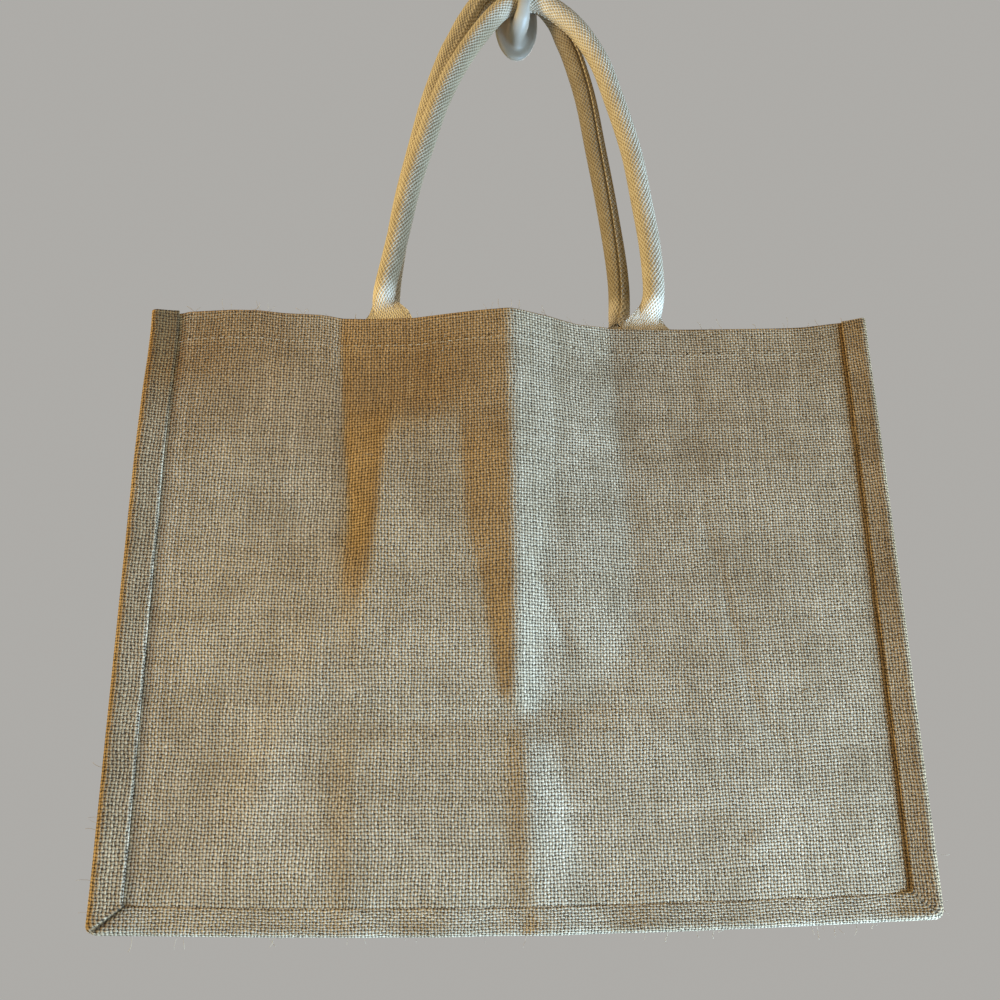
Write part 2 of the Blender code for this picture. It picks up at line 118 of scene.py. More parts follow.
world = bpy.data.worlds.new("studio")
bpy.context.scene.world = world
world.use_nodes = True
nodes = world.node_tree.nodes
links = world.node_tree.links
nodes["Background"].inputs["Color"].default_value = WORLD_COLOUR
nodes["Background"].inputs["Strength"].default_value = WORLD_STRENGTH
backdrop = nodes.new("ShaderNodeBackground")
backdrop.inputs["Color"].default_value = BACKDROP_COLOUR
backdrop.inputs["Strength"].default_value = 1.0
choose = nodes.new("ShaderNodeMixShader")
links.new(nodes.new("ShaderNodeLightPath").outputs["Is Camera Ray"], choose.inputs["Fac"])
links.new(nodes["Background"].outputs[0], choose.inputs[1])
links.new(backdrop.outputs[0], choose.inputs[2])
links.new(choose.outputs[0], nodes["World Output"].inputs["Surface"])

bpy.context.scene.view_settings.view_transform = "Standard"

bpy.ops.mesh.primitive_plane_add(size=5, location=(0, 0, FLOOR_Z))
floor = bpy.context.object
floor.name = "floor"
floor_paint = bpy.data.materials.new("floor_paint")
floor_paint.use_nodes = True
paint_shader = floor_paint.node_tree.nodes["Principled BSDF"]
paint_shader.inputs["Base Color"].default_value = FLOOR_COLOUR
paint_shader.inputs["Roughness"].default_value = 0.8
floor.data.materials.append(floor_paint)
print(len(LAMPS), "lights, floor at", FLOOR_Z)

# %% [markdown]
# ## Measures of the bag
#
# A place on the bag is given by two lengths, as a tailor would: how far across from its middle line, and
# how far below its top. The same numbers shaped the CAD solids, so the cloth lies where they do.

# %% Measures
BAG_WIDTH = 0.430
BAG_HEIGHT = 0.341
BAG_MIDDLE_X = -0.007
BAG_TOP_Z = -0.261
BOTTOM_SAG = 0.004
FRONT_Y = -0.042
BACK_Y = -0.012
HALF_WIDTH = BAG_WIDTH / 2
CLOTH = 0.0013
SHEET = 0.0011
HEM = 0.020
PANEL_DROP = 0.002
PANEL_INSET = 0.003
PANEL_CORNER_CUT = 0.004
BAND_WIDTH = 0.0135
GUSSET_REACH = 0.090
GUSSET_FOLD_RADIUS = 0.003
LEFT_BAND_EXTRA = (0.0021, 0.0032)
RIGHT_BAND_EXTRA = (0.0005, 0.0015)
CORNER_INSETS = (0.0, BAND_WIDTH, GUSSET_REACH)
CORNER_RADII = (0.0045, 0.002, 0.022)
GATHER_INSETS = (BAND_WIDTH, 0.050)
GATHER_POWERS = (3.0, 1.4)
# The top edge isn't level: how far it rises at places across
TOP_ACROSS = (
    -0.215, -0.1995, -0.197, -0.170, -0.155, -0.140, -0.118, -0.112, -0.104, -0.090, -0.062, -0.040, -0.023,
    0.0, 0.020, 0.038, 0.055, 0.150, 0.180, 0.215,
)
TOP_RISE = (
    0.0018, 0.0034, 0.0052, 0.0072, 0.0073, 0.0059, 0.0055, 0.0047, 0.0031, 0.0014, -0.0008, 0.0, 0.0005,
    0.0002, 0.0, -0.0016, 0.0, -0.0008, -0.0008, 0.0012,
)
TOP_RISE_REACH = 0.110
print("bag", BAG_WIDTH, "x", BAG_HEIGHT, "m")


def ease(value):
    value = np.clip(value, 0.0, 1.0)
    return value * value * (3 - 2 * value)


def blend(a, b, share):
    return a + (b - a) * share


def on_bag(across, below, y):
    """Points of the bag, from arrays of places and depths. The bottom sags, and the side bands widen."""
    down = np.maximum(below, 0) / BAG_HEIGHT
    sag = BOTTOM_SAG * (1 - (across / HALF_WIDTH) ** 2) * down
    in_band = np.maximum(np.abs(across) - (HALF_WIDTH - BAND_WIDTH), 0) / BAND_WIDTH
    left = blend(LEFT_BAND_EXTRA[0], LEFT_BAND_EXTRA[1], down)
    right = blend(RIGHT_BAND_EXTRA[0], RIGHT_BAND_EXTRA[1], down)
    stretch = np.where(across < 0, -left, right) * in_band
    rise = np.interp(across, TOP_ACROSS, TOP_RISE) * ease(1 - below / TOP_RISE_REACH)
    return np.stack((BAG_MIDDLE_X + across + stretch, y, BAG_TOP_Z - below - sag + rise), axis=-1)


# %% [markdown]
# ## Folds
#
# The bag was stored folded in half, and that middle fold still stands forward as a ridge. One table row
# says how a level cut through the panel looks: a left foot, the ridge, a right foot and the rim beyond
# it. Between rows it is read by interpolation, and each corner is softened by taking the mean over a
# short reach, sideways for the folds' corners and up and down so that no table row shows.

# %% Fold tables
RIM_ACROSS = 105.0
FRONT_FOLD = (
    # below; left foot, its depth; ridge, its depth; shoulder, its depth; right foot, its depth; rim depth
    (0.0, -106.0, -4.0, -4.0, 16.5, 25.0, 3.6, 58.0, -9.0, -8.5),
    (75.0, -101.0, -4.5, -4.0, 14.0, 22.0, 3.6, 60.0, -7.5, -6.5),
    (130.0, -96.0, -4.0, -4.0, 12.2, 16.0, 4.4, 63.0, -5.5, -4.5),
    (155.0, -99.0, -0.5, -4.0, 11.2, 13.0, 4.6, 63.0, -4.5, -3.8),
    (175.0, -100.0, 1.8, -4.0, 10.2, 11.0, 4.2, 63.0, -3.4, -3.0),
    (200.0, -100.0, 2.2, -4.0, 8.4, 10.0, 2.0, 58.0, -2.4, -1.8),
    (226.0, -100.0, 1.6, -4.0, 5.0, 9.0, 0.0, 40.0, -1.2, -0.6),
    (234.0, -100.0, 1.0, -2.0, 0.6, 8.0, -1.0, 30.0, -0.5, 0.0),
    (250.0, -100.0, 1.4, 1.0, 4.4, 7.0, 2.6, 14.0, 0.4, 0.0),
    (285.0, -100.0, 2.0, 2.0, 5.4, 11.0, 3.2, 26.0, -0.6, 0.0),
    (322.0, -100.0, 1.8, 3.0, 4.6, 16.0, 2.6, 32.0, 0.2, 0.0),
    (332.0, -100.0, 1.4, 3.0, 3.2, 16.0, 2.4, 32.0, 1.6, 0.0),
    (343.0, -100.0, 0.6, 3.0, 2.0, 16.0, 1.6, 32.0, 1.0, 0.0),
)
FRONT_BELLY = 1.5
MOUND_PLACE = (36.0, 165.0)
MOUND_SIZE = (16.0, 34.0)
MOUND_DEPTH = 0.9
LEAN_BACK = (5.0, 1.0)
LEAN_PLACES = (-110.0, 5.0)
LEAN_REACH = 105.0
RIPPLE_DEPTH = 1.0
RIPPLE_LENGTH = 58.0
RIPPLE_REACH = 95.0
RIPPLE_HEIGHT = 30.0
BACK_FOLD = (
    # below, half width of the fold, depth at its middle
    (0.0, 75.0, 8.0),
    (120.0, 70.0, 7.0),
    (230.0, 45.0, 3.0),
    (343.0, 40.0, 4.0),
)
BACK_BELLY = 4.0

# The ridge's left flank has a flat step half way out
STEP = (
    # below, its left end, its right end, its depth
    (55.0, -74.0, -33.0, 5.4),
    (82.0, -77.0, -33.0, 4.8),
    (130.0, -82.0, -30.0, 4.2),
    (155.0, -84.0, -23.0, 3.9),
    (175.0, -86.0, -19.0, 3.7),
    (200.0, -88.0, -15.0, 3.3),
    (226.0, -90.0, -12.0, 2.4),
    (234.0, -90.0, -11.0, 1.2),
    (250.0, -90.0, -10.0, 2.5),
    (285.0, -90.0, -9.0, 3.5),
    (322.0, -90.0, -8.0, 3.0),
    (343.0, -90.0, -8.0, 1.4),
)
STEP_START = (56.0, 82.0)

SOFT_ACROSS = (-2.4, -0.8, 0.8, 2.4)
SOFT_BELOW = (-7.5, -2.5, 2.5, 7.5)


def fold_row(table, below):
    heights = [row[0] for row in table]
    return [np.interp(below, heights, column) for column in list(zip(*table))[1:]]


def bent_line(places, depths, at):
    """Depth along a bent line whose corners are arrays: each stretch adds its rise once it is passed."""
    depth = depths[0] + 0 * at
    for start, end, before, after in zip(places, places[1:], depths, depths[1:]):
        depth = depth + np.clip((at - start) / (end - start), 0, 1) * (after - before)
    return depth


def middle_fold_depth(across, below):
    cut = fold_row(FRONT_FOLD, below)
    left, left_depth, ridge, peak, shoulder, shoulder_depth, right, right_depth, rim = cut
    edge = 1000 * HALF_WIDTH
    slope = (peak - left_depth) / (ridge - left)
    share = ease((below - STEP_START[0]) / (STEP_START[1] - STEP_START[0]))
    step_left, step_right, step_depth = fold_row(STEP, below)
    places = [0 * below - edge, left]
    depths = [0 * below, left_depth]
    for spot in (step_left, step_right):
        places.append(spot)
        depths.append(blend(left_depth + slope * (spot - left), step_depth, share))
    places += [ridge, shoulder, right, RIM_ACROSS + 0 * below, edge + 0 * below]
    depths += [peak, shoulder_depth, right_depth, rim, 0 * below]
    return bent_line(places, depths, across)


def belly(across, below):
    share_across = np.minimum(np.abs(across) / (1000 * HALF_WIDTH), 1)
    share_down = np.clip(below / (1000 * BAG_HEIGHT), 0, 1)
    return (1 - share_across**2) * np.sin(np.pi * share_down)


# %% [markdown]
# ### Creases
#
# On top of the main fold lie the small creases of cloth that was stored folded. Each is a stroke through
# a few points: a soft ridge where its depth is above 0, and a trough where it is below. A stroke fades
# out at both ends, as real creases do.

# %% Creases
CREASES = (
    # depth, half width, fade, points (across, below)
    (-1.1, 3.5, 16.0, ((6, 146), (11, 165), (20, 186), (27, 204))),
    (-0.5, 3.0, 24.0, ((106, 120), (114, 160), (119, 192), (128, 236), (150, 266), (172, 289))),
    (0.9, 15.0, 40.0, ((-106, 175), (-112, 215), (-135, 262), (-145, 305))),
    (-0.8, 3.0, 12.0, ((-106, 4), (-101, 75), (-92, 142))),
    (-2.0, 26.0, 30.0, ((-212, -10), (-202, 50))),
    (-0.35, 2.5, 18.0, ((-75, 238), (-40, 236), (-8, 235))),
    (-0.35, 2.5, 18.0, ((6, 231), (40, 228), (98, 230))),
    (0.7, 7.0, 10.0, ((118, 294), (126, 306))),
    (-1.2, 3.5, 10.0, ((-14, 226), (-3, 233), (6, 238))),
    (-1.2, 2.5, 8.0, ((-3, 326), (0, 334), (-4, 344))),
)


def stroke(across, below, depth, half_width, fade, points):
    """Depth of one crease at arrays of places."""
    points = np.array(points, float)
    steps = np.diff(points, axis=0)
    lengths = np.linalg.norm(steps, axis=1)
    starts = np.concatenate(((0,), np.cumsum(lengths)))
    best = np.full(np.shape(across), 1e9)
    along = np.zeros(np.shape(across))
    for start, step, length, before in zip(points, steps, lengths, starts):
        share = ((across - start[0]) * step[0] + (below - start[1]) * step[1]) / length**2
        share = np.clip(share, 0, 1)
        away = np.hypot(across - start[0] - share * step[0], below - start[1] - share * step[1])
        nearer = away < best
        best = np.where(nearer, away, best)
        along = np.where(nearer, before + share * length, along)
    ends = ease(along / fade + 0.15) * ease((starts[-1] - along) / fade + 0.15)
    return depth * ends * np.exp(-((best / half_width) ** 2))


def front_y(across, below):
    """Y of the front panel's outer face, at arrays of places in metres."""
    across_mm = 1000 * across
    below_mm = np.maximum(1000 * below, 0)
    depth = 0
    for side in SOFT_ACROSS:
        for down in SOFT_BELOW:
            depth = depth + middle_fold_depth(across_mm + side, np.maximum(below_mm + down, 0))
    depth = depth / (len(SOFT_ACROSS) * len(SOFT_BELOW))
    mound_x = (across_mm - MOUND_PLACE[0]) / MOUND_SIZE[0]
    mound_z = (below_mm - MOUND_PLACE[1]) / MOUND_SIZE[1]
    depth = depth + MOUND_DEPTH * np.exp(-(mound_x**2) - mound_z**2)
    depth = depth + FRONT_BELLY * belly(across_mm, below_mm)
    lean = np.interp(across_mm, LEAN_PLACES, LEAN_BACK)
    depth = depth - lean * ease(1 - below_mm / LEAN_REACH)
    low = ease(1 - (1000 * BAG_HEIGHT - below_mm) / RIPPLE_HEIGHT)
    near = ease(2 - 2 * np.abs(across_mm) / RIPPLE_REACH)
    depth = depth + RIPPLE_DEPTH * low * near * np.sin(2 * np.pi * across_mm / RIPPLE_LENGTH)
    for crease in CREASES:
        depth = depth + stroke(across_mm, below_mm, *crease)
    return FRONT_Y - 0.001 * depth


def back_y(across, below):
    """Y of the back panel's outer face, which is turned to the wall."""
    across_mm = 1000 * across
    below_mm = np.maximum(1000 * below, 0)
    depth = 0
    for side in SOFT_ACROSS:
        half, middle = fold_row(BACK_FOLD, below_mm)
        away = np.minimum(np.abs(across_mm + side) / half, 1)
        depth = depth + middle * (1 - away)
    depth = depth / len(SOFT_ACROSS)
    depth = depth - BACK_BELLY * belly(across_mm, below_mm)
    return BACK_Y - 0.001 * depth


ridge_height = FRONT_Y - float(front_y(np.array(-0.004), np.array(0.05)))
print("ridge stands", round(1000 * ridge_height, 1), "mm forward")

# %% [markdown]
# ## Wiring nodes
#
# A cloth's look is made by arithmetic on its flat map, and that takes many small nodes. A short helper
# puts a node down and joins it in one line, so the cells below read like the sums that they stand for.

# %% Wiring helper
class Wiring:
    """Places nodes in one node tree and joins them. A value may be a number or another node's output."""

    def __init__(self, tree):
        self.tree = tree

    def put(self, kind, values=(), **settings):
        node = self.tree.nodes.new(kind)
        for key, value in settings.items():
            setattr(node, key, value)
        for socket, value in dict(values).items():
            self.join(value, node.inputs[socket])
        return node

    def join(self, value, socket):
        if isinstance(value, bpy.types.NodeSocket):
            self.tree.links.new(value, socket)
        else:
            socket.default_value = value

    def use(self, group, **values):
        """Places a node group, and returns its outputs."""
        return self.put("ShaderNodeGroup", values, node_tree=group).outputs

    def math(self, operation, *values, clamp=False):
        node = self.put("ShaderNodeMath", enumerate(values), operation=operation, use_clamp=clamp)
        return node.outputs[0]

    def plus(self, a, b):
        return self.math("ADD", a, b)

    def minus(self, a, b, clamp=False):
        return self.math("SUBTRACT", a, b, clamp=clamp)

    def times(self, a, b):
        return self.math("MULTIPLY", a, b)

    def over(self, a, b):
        return self.math("DIVIDE", a, b)

    def scaled(self, value, factor, added):
        return self.math("MULTIPLY_ADD", value, factor, added)

    def smooth(self, value, low, high):
        """0 below low, 1 above high, and a smooth step between."""
        values = {"Value": value, "From Min": low, "From Max": high}
        return self.put("ShaderNodeMapRange", values, interpolation_type="SMOOTHSTEP").outputs["Result"]

    def mix(self, share, a, b):
        values = {"Factor": share, 2: a, 3: b}
        return self.put("ShaderNodeMix", values, data_type="FLOAT").outputs[0]

    def colour(self, share, a, b, blend_type="MIX"):
        values = {"Factor": share, 6: a, 7: b}
        return self.put("ShaderNodeMix", values, data_type="RGBA", blend_type=blend_type).outputs[2]

    def vector(self, x, y, z=0.0):
        return self.put("ShaderNodeCombineXYZ", {"X": x, "Y": y, "Z": z}).outputs[0]

    def split(self, vector):
        node = self.put("ShaderNodeSeparateXYZ", {"Vector": vector})
        return node.outputs["X"], node.outputs["Y"]

    def noise(self, vector, scale, detail=0.0, roughness=0.5, dimensions="2D"):
        values = {"Vector": vector, "Scale": scale, "Detail": detail, "Roughness": roughness}
        return self.put("ShaderNodeTexNoise", values, noise_dimensions=dimensions).outputs["Fac"]

    def chance(self, x, y=0.0):
        """A random number for each pair of whole numbers."""
        values = {"Vector": self.vector(x, y)}
        return self.put("ShaderNodeTexWhiteNoise", values, noise_dimensions="2D").outputs["Value"]


FLOAT = "NodeSocketFloat"
VECTOR = "NodeSocketVector"
COLOUR = "NodeSocketColor"


def new_group(name, inputs, outputs, output_kind=FLOAT):
    """A shader node group with named sockets. Returns the group, its wiring and its two ends."""
    group = bpy.data.node_groups.new(name, "ShaderNodeTree")
    for label, kind, value in inputs:
        socket = group.interface.new_socket(label, in_out="INPUT", socket_type=kind)
        if value is not None:
            socket.default_value = value
    for label in outputs:
        group.interface.new_socket(label, in_out="OUTPUT", socket_type=output_kind)
    start = group.nodes.new("NodeGroupInput")
    end = group.nodes.new("NodeGroupOutput")
    return group, Wiring(group), start.outputs, end.inputs


print("wiring ready")

# %% [markdown]
# ## Plain weave
#
# Burlap is the simplest weave: each weft thread goes over one warp thread and under the next. In each
# square of the grid a warp thread runs up and a weft thread runs across. Both are round, so their height
# falls from the middle to the side, and both bob up and down in turn. What is higher shows, and where
# neither thread is, a hole shows, which the burlap paints in the dark shade behind the cloth. Jute is
# uneven, so each thread has its own width and tone, and wanders a little.

# %% Weave group
def thread(wires, off_middle, bob, half_width):
    """Height and mask of one thread, from the distance off its middle and its bobbing, which is -1 to 1."""
    share = wires.over(wires.math("ABSOLUTE", off_middle), half_width)
    square = wires.minus(1.0, wires.times(share, share), clamp=True)
    crown = wires.math("SQRT", square)
    mask = wires.smooth(share, 1.06, 0.80)
    height = wires.scaled(bob, 0.24, wires.scaled(crown, 0.36, 0.38))
    return wires.times(height, mask), mask


def make_weave():
    inputs = (
        ("Place", VECTOR, None), ("Pitch", FLOAT, 0.00172),
        ("Thread", FLOAT, 0.36), ("Unevenness", FLOAT, 0.3),
    )
    group, wires, start, end = new_group("plain_weave", inputs, ("Height", "Cover", "Tone", "Warp"))
    across, along = wires.split(start["Place"])
    # The threads wander as a whole by less than a pitch.
    drift_a = wires.noise(start["Place"], 38.0, 1.0)
    drift_b = wires.noise(wires.vector(along, across), 31.0, 1.0)
    sway = wires.times(start["Unevenness"], 3.0)
    a = wires.over(across, start["Pitch"])
    b = wires.over(along, start["Pitch"])
    a = wires.scaled(wires.minus(drift_a, 0.5), sway, a)
    b = wires.scaled(wires.minus(drift_b, 0.5), sway, b)
    warp_number = wires.math("FLOOR", a)
    weft_number = wires.math("FLOOR", b)
    off_a = wires.minus(wires.math("FRACT", a), 0.5)
    off_b = wires.minus(wires.math("FRACT", b), 0.5)
    parity = wires.math("MODULO", wires.math("ABSOLUTE", wires.plus(warp_number, weft_number)), 2.0)
    sign = wires.scaled(wires.math("ROUND", parity), -2.0, 1.0)
    heights = []
    masks = []
    tones = []
    for off, other_off, number, run, turn in (
        (off_a, off_b, warp_number, b, 1.0), (off_b, off_a, weft_number, a, -1.0),
    ):
        key = wires.scaled(number, 7.31, 11.0 * turn)
        # Thick and thin places follow each thread, some pitches long.
        slub = wires.noise(wires.vector(key, wires.times(run, 0.16)), 1.0, 1.0)
        lean = wires.noise(wires.vector(wires.times(run, 0.35), key), 1.0)
        swell = wires.scaled(wires.minus(slub, 0.5), 1.8, 1.0)
        spread = wires.mix(start["Unevenness"], 1.0, swell)
        half = wires.times(start["Thread"], spread)
        aside = wires.times(wires.minus(lean, 0.5), start["Unevenness"])
        bob = wires.times(wires.math("COSINE", wires.times(other_off, math.pi)), sign)
        bob = wires.times(bob, turn)
        height, mask = thread(wires, wires.plus(off, aside), bob, half)
        heights.append(height)
        masks.append(mask)
        shade = wires.chance(number, 3.0 + turn)
        run_shade = wires.noise(wires.vector(wires.times(run, 0.06), key), 1.0, 2.0)
        tones.append(wires.scaled(shade, 0.45, wires.times(run_shade, 0.55)))
    warp_over = wires.math("GREATER_THAN", heights[0], heights[1])
    wires.join(wires.math("MAXIMUM", heights[0], heights[1]), end["Height"])
    wires.join(wires.math("MAXIMUM", masks[0], masks[1]), end["Cover"])
    wires.join(wires.mix(warp_over, tones[1], tones[0]), end["Tone"])
    wires.join(warp_over, end["Warp"])
    return group


weave_group = make_weave()
print("weave group:", len(weave_group.nodes), "nodes")

# %% [markdown]
# ## Twill webbing
#
# The handles' webbing shows short raised floats, set like bricks: each column is shifted by half a float
# from the one before. Two cosine waves, one across and one along, make just that when they are
# multiplied. The left leg was rolled round its cord with a twist, so there the rows run on a slant, which
# fades out over the hook.

# %% Webbing group
def make_webbing():
    inputs = (
        ("Place", VECTOR, None), ("Column", FLOAT, 0.00115), ("Float", FLOAT, 0.0036), ("Slant", FLOAT, 0.15),
        ("Slant Start", FLOAT, 0.24), ("Slant End", FLOAT, 0.44),
    )
    group, wires, start, end = new_group("brick_webbing", inputs, ("Height", "Cover", "Tone"))
    across, along = wires.split(start["Place"])
    straight = wires.smooth(along, start["Slant Start"], start["Slant End"])
    slant = wires.mix(straight, start["Slant"], 0.0)
    slanted = wires.scaled(across, slant, along)
    sway = wires.scaled(wires.noise(start["Place"], 190.0, 1.0), 0.5, -0.25)
    turned_place = wires.vector(along, across)
    other_sway = wires.scaled(wires.noise(turned_place, 170.0, 1.0), 0.36, -0.18)
    columns = wires.plus(wires.over(across, start["Column"]), sway)
    rows = wires.plus(wires.over(slanted, start["Float"]), other_sway)
    wave_a = wires.math("COSINE", wires.times(columns, math.pi))
    wave_b = wires.math("COSINE", wires.times(rows, 2 * math.pi))
    wave = wires.times(wave_a, wave_b)
    wires.join(wires.smooth(wave, -0.75, 0.85), end["Height"])
    wires.join(wires.smooth(wave, -0.95, -0.35), end["Cover"])
    wires.join(wires.chance(wires.math("FLOOR", columns), wires.math("FLOOR", rows)), end["Tone"])
    return group


webbing_group = make_webbing()
print("webbing group:", len(webbing_group.nodes), "nodes")

# %% [markdown]
# ## Fibres
#
# Spun fibre is never one flat colour: fine streaks run along it, with some stray pale and dark ones. The
# same group serves the jute, the webbing and the sewing thread, with streaks as long and as fine as each
# needs.

# %% Fibre group
def make_fibres():
    inputs = (
        ("Place", VECTOR, None), ("Fineness", FLOAT, 2500.0), ("Stretch", FLOAT, 0.2), ("Turned", FLOAT, 0.0),
    )
    group, wires, start, end = new_group("spun_fibres", inputs, ("Streaks", "Specks"))
    across, along = wires.split(start["Place"])
    slow_along = wires.vector(across, wires.times(along, start["Stretch"]))
    slow_across = wires.vector(wires.times(across, start["Stretch"]), along)
    one = wires.noise(slow_along, start["Fineness"], 2.0, 0.6)
    other = wires.noise(slow_across, start["Fineness"], 2.0, 0.6)
    streaks = wires.mix(start["Turned"], one, other)
    wires.join(streaks, end["Streaks"])
    speck = wires.noise(start["Place"], wires.times(start["Fineness"], 0.35), 1.0)
    wires.join(wires.smooth(speck, 0.68, 0.78), end["Specks"])
    return group


fibre_group = make_fibres()
print("fibre group:", len(fibre_group.nodes), "nodes")

# %% [markdown]
# ## Painted shading
#
# Light and shade are painted on each piece as one number per vertex, and one group turns it into colour,
# for the jute and the cotton alike: above 0 the cloth is painted paler with light, below 0 it is painted
# browner with shade, and from -1 to -2 it is painted darker and darker with the shade of a slit between two
# layers.

# %% Painted shading group
# Painted light divides a colour by this tint, which makes it paler.
BLEACHED = (0.72, 0.70, 0.66, 1)


def make_wear():
    inputs = (
        ("Clean", COLOUR, None), ("Wear", FLOAT, 0.0), ("Browned", COLOUR, None), ("Slit", COLOUR, None),
    )
    group, wires, start, end = new_group("cloth_wear", inputs, ("Colour",), COLOUR)
    browned = wires.math("MAXIMUM", wires.times(start["Wear"], -1.0), 0.0)
    bleached = wires.math("MAXIMUM", start["Wear"], 0.0)
    colour = wires.colour(browned, start["Clean"], start["Browned"], "MULTIPLY")
    colour = wires.colour(bleached, colour, BLEACHED, "DIVIDE")
    wires.join(wires.colour(wires.minus(browned, 1.0, clamp=True), colour, start["Slit"]), end["Colour"])
    return group


wear_group = make_wear()
print("wear group:", len(wear_group.nodes), "nodes")

# %% [markdown]
# ## Cloth materials
#
# Each material places the groups with its own values and mixes its colours by what they give out. The
# relief of the weave goes through a Bump node, in real depth.

# %% Material helpers
def start_material(name, roughness):
    made = bpy.data.materials.new(name)
    made.use_nodes = True
    shader = made.node_tree.nodes["Principled BSDF"]
    shader.inputs["Roughness"].default_value = roughness
    return made, Wiring(made.node_tree), shader


def finish_material(wires, shader, colour, relief, depth, strength=1.0):
    wires.join(colour, shader.inputs["Base Color"])
    bump = wires.put("ShaderNodeBump", {"Height": relief, "Distance": depth, "Strength": strength})
    wires.join(bump.outputs["Normal"], shader.inputs["Normal"])


# Makes a colour paler with painted light and darker with painted shade, by the piece's painted shading.
def worn(wires, clean, browned, slit):
    wear = wires.put("ShaderNodeAttribute", attribute_name="wear").outputs["Fac"]
    return wires.use(wear_group, Clean=clean, Wear=wear, Browned=browned, Slit=slit)["Colour"]


# %% Burlap
# The weave's holes, the needle holes and the slits are painted in this dark shade.
GAP_COLOUR = (0.066, 0.040, 0.016, 1)
JUTE_DARK = (0.35, 0.255, 0.150, 1)
JUTE_LIGHT = (0.67, 0.545, 0.385, 1)
JUTE_PALE = (0.72, 0.610, 0.450, 1)
# Painted shade browns the jute towards this tint.
BROWNED = (0.66, 0.49, 0.28, 1)
WEAVE_PITCH = 0.00172
STITCH_SPACING = 0.0047
# Where the hem's seam lies on a panel's own map
HEM_LINE = -0.0374


def needle_holes(wires, place, line, spacing):
    """A mask of the holes that the hem's needle left, along one line of the cloth's own map."""
    across, along = wires.split(place)
    step = wires.over(across, spacing)
    number = wires.math("FLOOR", step)
    shift = wires.scaled(wires.chance(number, 5.0), 0.4, 0.3)
    near = wires.times(wires.minus(wires.minus(step, number), shift), spacing)
    off_line = wires.minus(along, line)
    away = wires.math("SQRT", wires.plus(wires.times(near, near), wires.times(off_line, off_line)))
    size = wires.scaled(wires.math("POWER", wires.chance(number, 9.0), 3.0), 0.0006, 0.00012)
    return wires.smooth(away, wires.times(size, 1.5), wires.times(size, 0.6))


def make_burlap(name, thread, unevenness, hem_line=None):
    made, wires, shader = start_material(name, 0.92)
    place = wires.put("ShaderNodeUVMap", uv_map="cloth").outputs["UV"]
    weave = wires.use(weave_group, Place=place, Pitch=WEAVE_PITCH, Thread=thread, Unevenness=unevenness)
    turned = wires.minus(1.0, weave["Warp"])
    fibres = wires.use(fibre_group, Place=place, Fineness=2600.0, Stretch=0.22, Turned=turned)
    cloud = wires.noise(place, 26.0, 3.0, 0.6)
    tone = wires.scaled(fibres["Streaks"], 0.5, wires.times(weave["Tone"], 0.5))
    tone = wires.scaled(cloud, 0.55, wires.minus(tone, 0.29))
    jute = wires.colour(wires.smooth(tone, 0.15, 0.95), JUTE_DARK, JUTE_LIGHT)
    jute = wires.colour(wires.times(fibres["Specks"], 0.5), jute, JUTE_PALE)
    # The sides of a thread sink between its neighbours and lie in their shade.
    depth = wires.smooth(weave["Height"], 0.36, 0.98)
    shade = wires.scaled(wires.math("POWER", depth, 1.4), 1.07, 0.20)
    # The shade is a little paler on the warp than on the weft.
    shade = wires.times(shade, wires.scaled(weave["Warp"], 0.20, 0.92))
    grey = wires.put("ShaderNodeCombineColor", {"Red": shade, "Green": shade, "Blue": shade}).outputs[0]
    colour = wires.colour(weave["Cover"], GAP_COLOUR, wires.colour(1.0, jute, grey, "MULTIPLY"))
    # The hem's needle holes are painted in the same dark shade.
    if hem_line is not None:
        colour = wires.colour(needle_holes(wires, place, hem_line, STITCH_SPACING), colour, GAP_COLOUR)
    relief = wires.scaled(fibres["Streaks"], 0.10, weave["Height"])
    finish_material(wires, shader, worn(wires, colour, BROWNED, GAP_COLOUR), relief, 0.0007)
    return made


burlap_panel = make_burlap("burlap_panel", 0.375, 0.40, hem_line=HEM_LINE)
burlap_strip = make_burlap("burlap_strip", 0.355, 0.45)
print("burlap:", len(burlap_panel.node_tree.nodes), "nodes")

# %% Cotton
# Painted shade in the gaps between the floats
COTTON_GAP = (0.29, 0.215, 0.13, 1)
COTTON_DARK = (0.46, 0.375, 0.26, 1)
COTTON_LIGHT = (0.74, 0.645, 0.50, 1)
# Painted shade in slits, and the tint that painted shade gives the cotton
COTTON_SLIT = (0.10, 0.07, 0.04, 1)
SOILED = (0.53, 0.49, 0.41, 1)


def make_cotton(name):
    made, wires, shader = start_material(name, 0.85)
    place = wires.put("ShaderNodeUVMap", uv_map="cloth").outputs["UV"]
    webbing = wires.use(webbing_group, Place=place)
    fibres = wires.use(fibre_group, Place=place, Fineness=3800.0, Stretch=0.2)
    tone = wires.scaled(fibres["Streaks"], 0.4, wires.times(webbing["Tone"], 0.2))
    # The low parts between the floats are painted darker, as shade.
    tone = wires.scaled(webbing["Height"], 0.45, tone)
    tone = wires.plus(tone, wires.scaled(wires.noise(place, 60.0, 2.0), 0.4, -0.25))
    colour = wires.colour(wires.smooth(tone, 0.05, 0.8), COTTON_DARK, COTTON_LIGHT)
    colour = wires.colour(webbing["Cover"], COTTON_GAP, colour)
    relief = wires.scaled(fibres["Streaks"], 0.12, webbing["Height"])
    finish_material(wires, shader, worn(wires, colour, SOILED, COTTON_SLIT), relief, 0.0004)
    return made


cotton = make_cotton("cotton_webbing")
print("cotton:", len(cotton.node_tree.nodes), "nodes")

# %% [markdown]
# ## Tools for sheets
#
# Every piece of cloth starts as a flat grid, as cloth starts flat, and its vertices are then laid where
# the folds put them. The grid keeps its own flat lengths as its UV map, in metres, so a weave drawn on
# the map has the same size everywhere, whatever the cloth does in space.

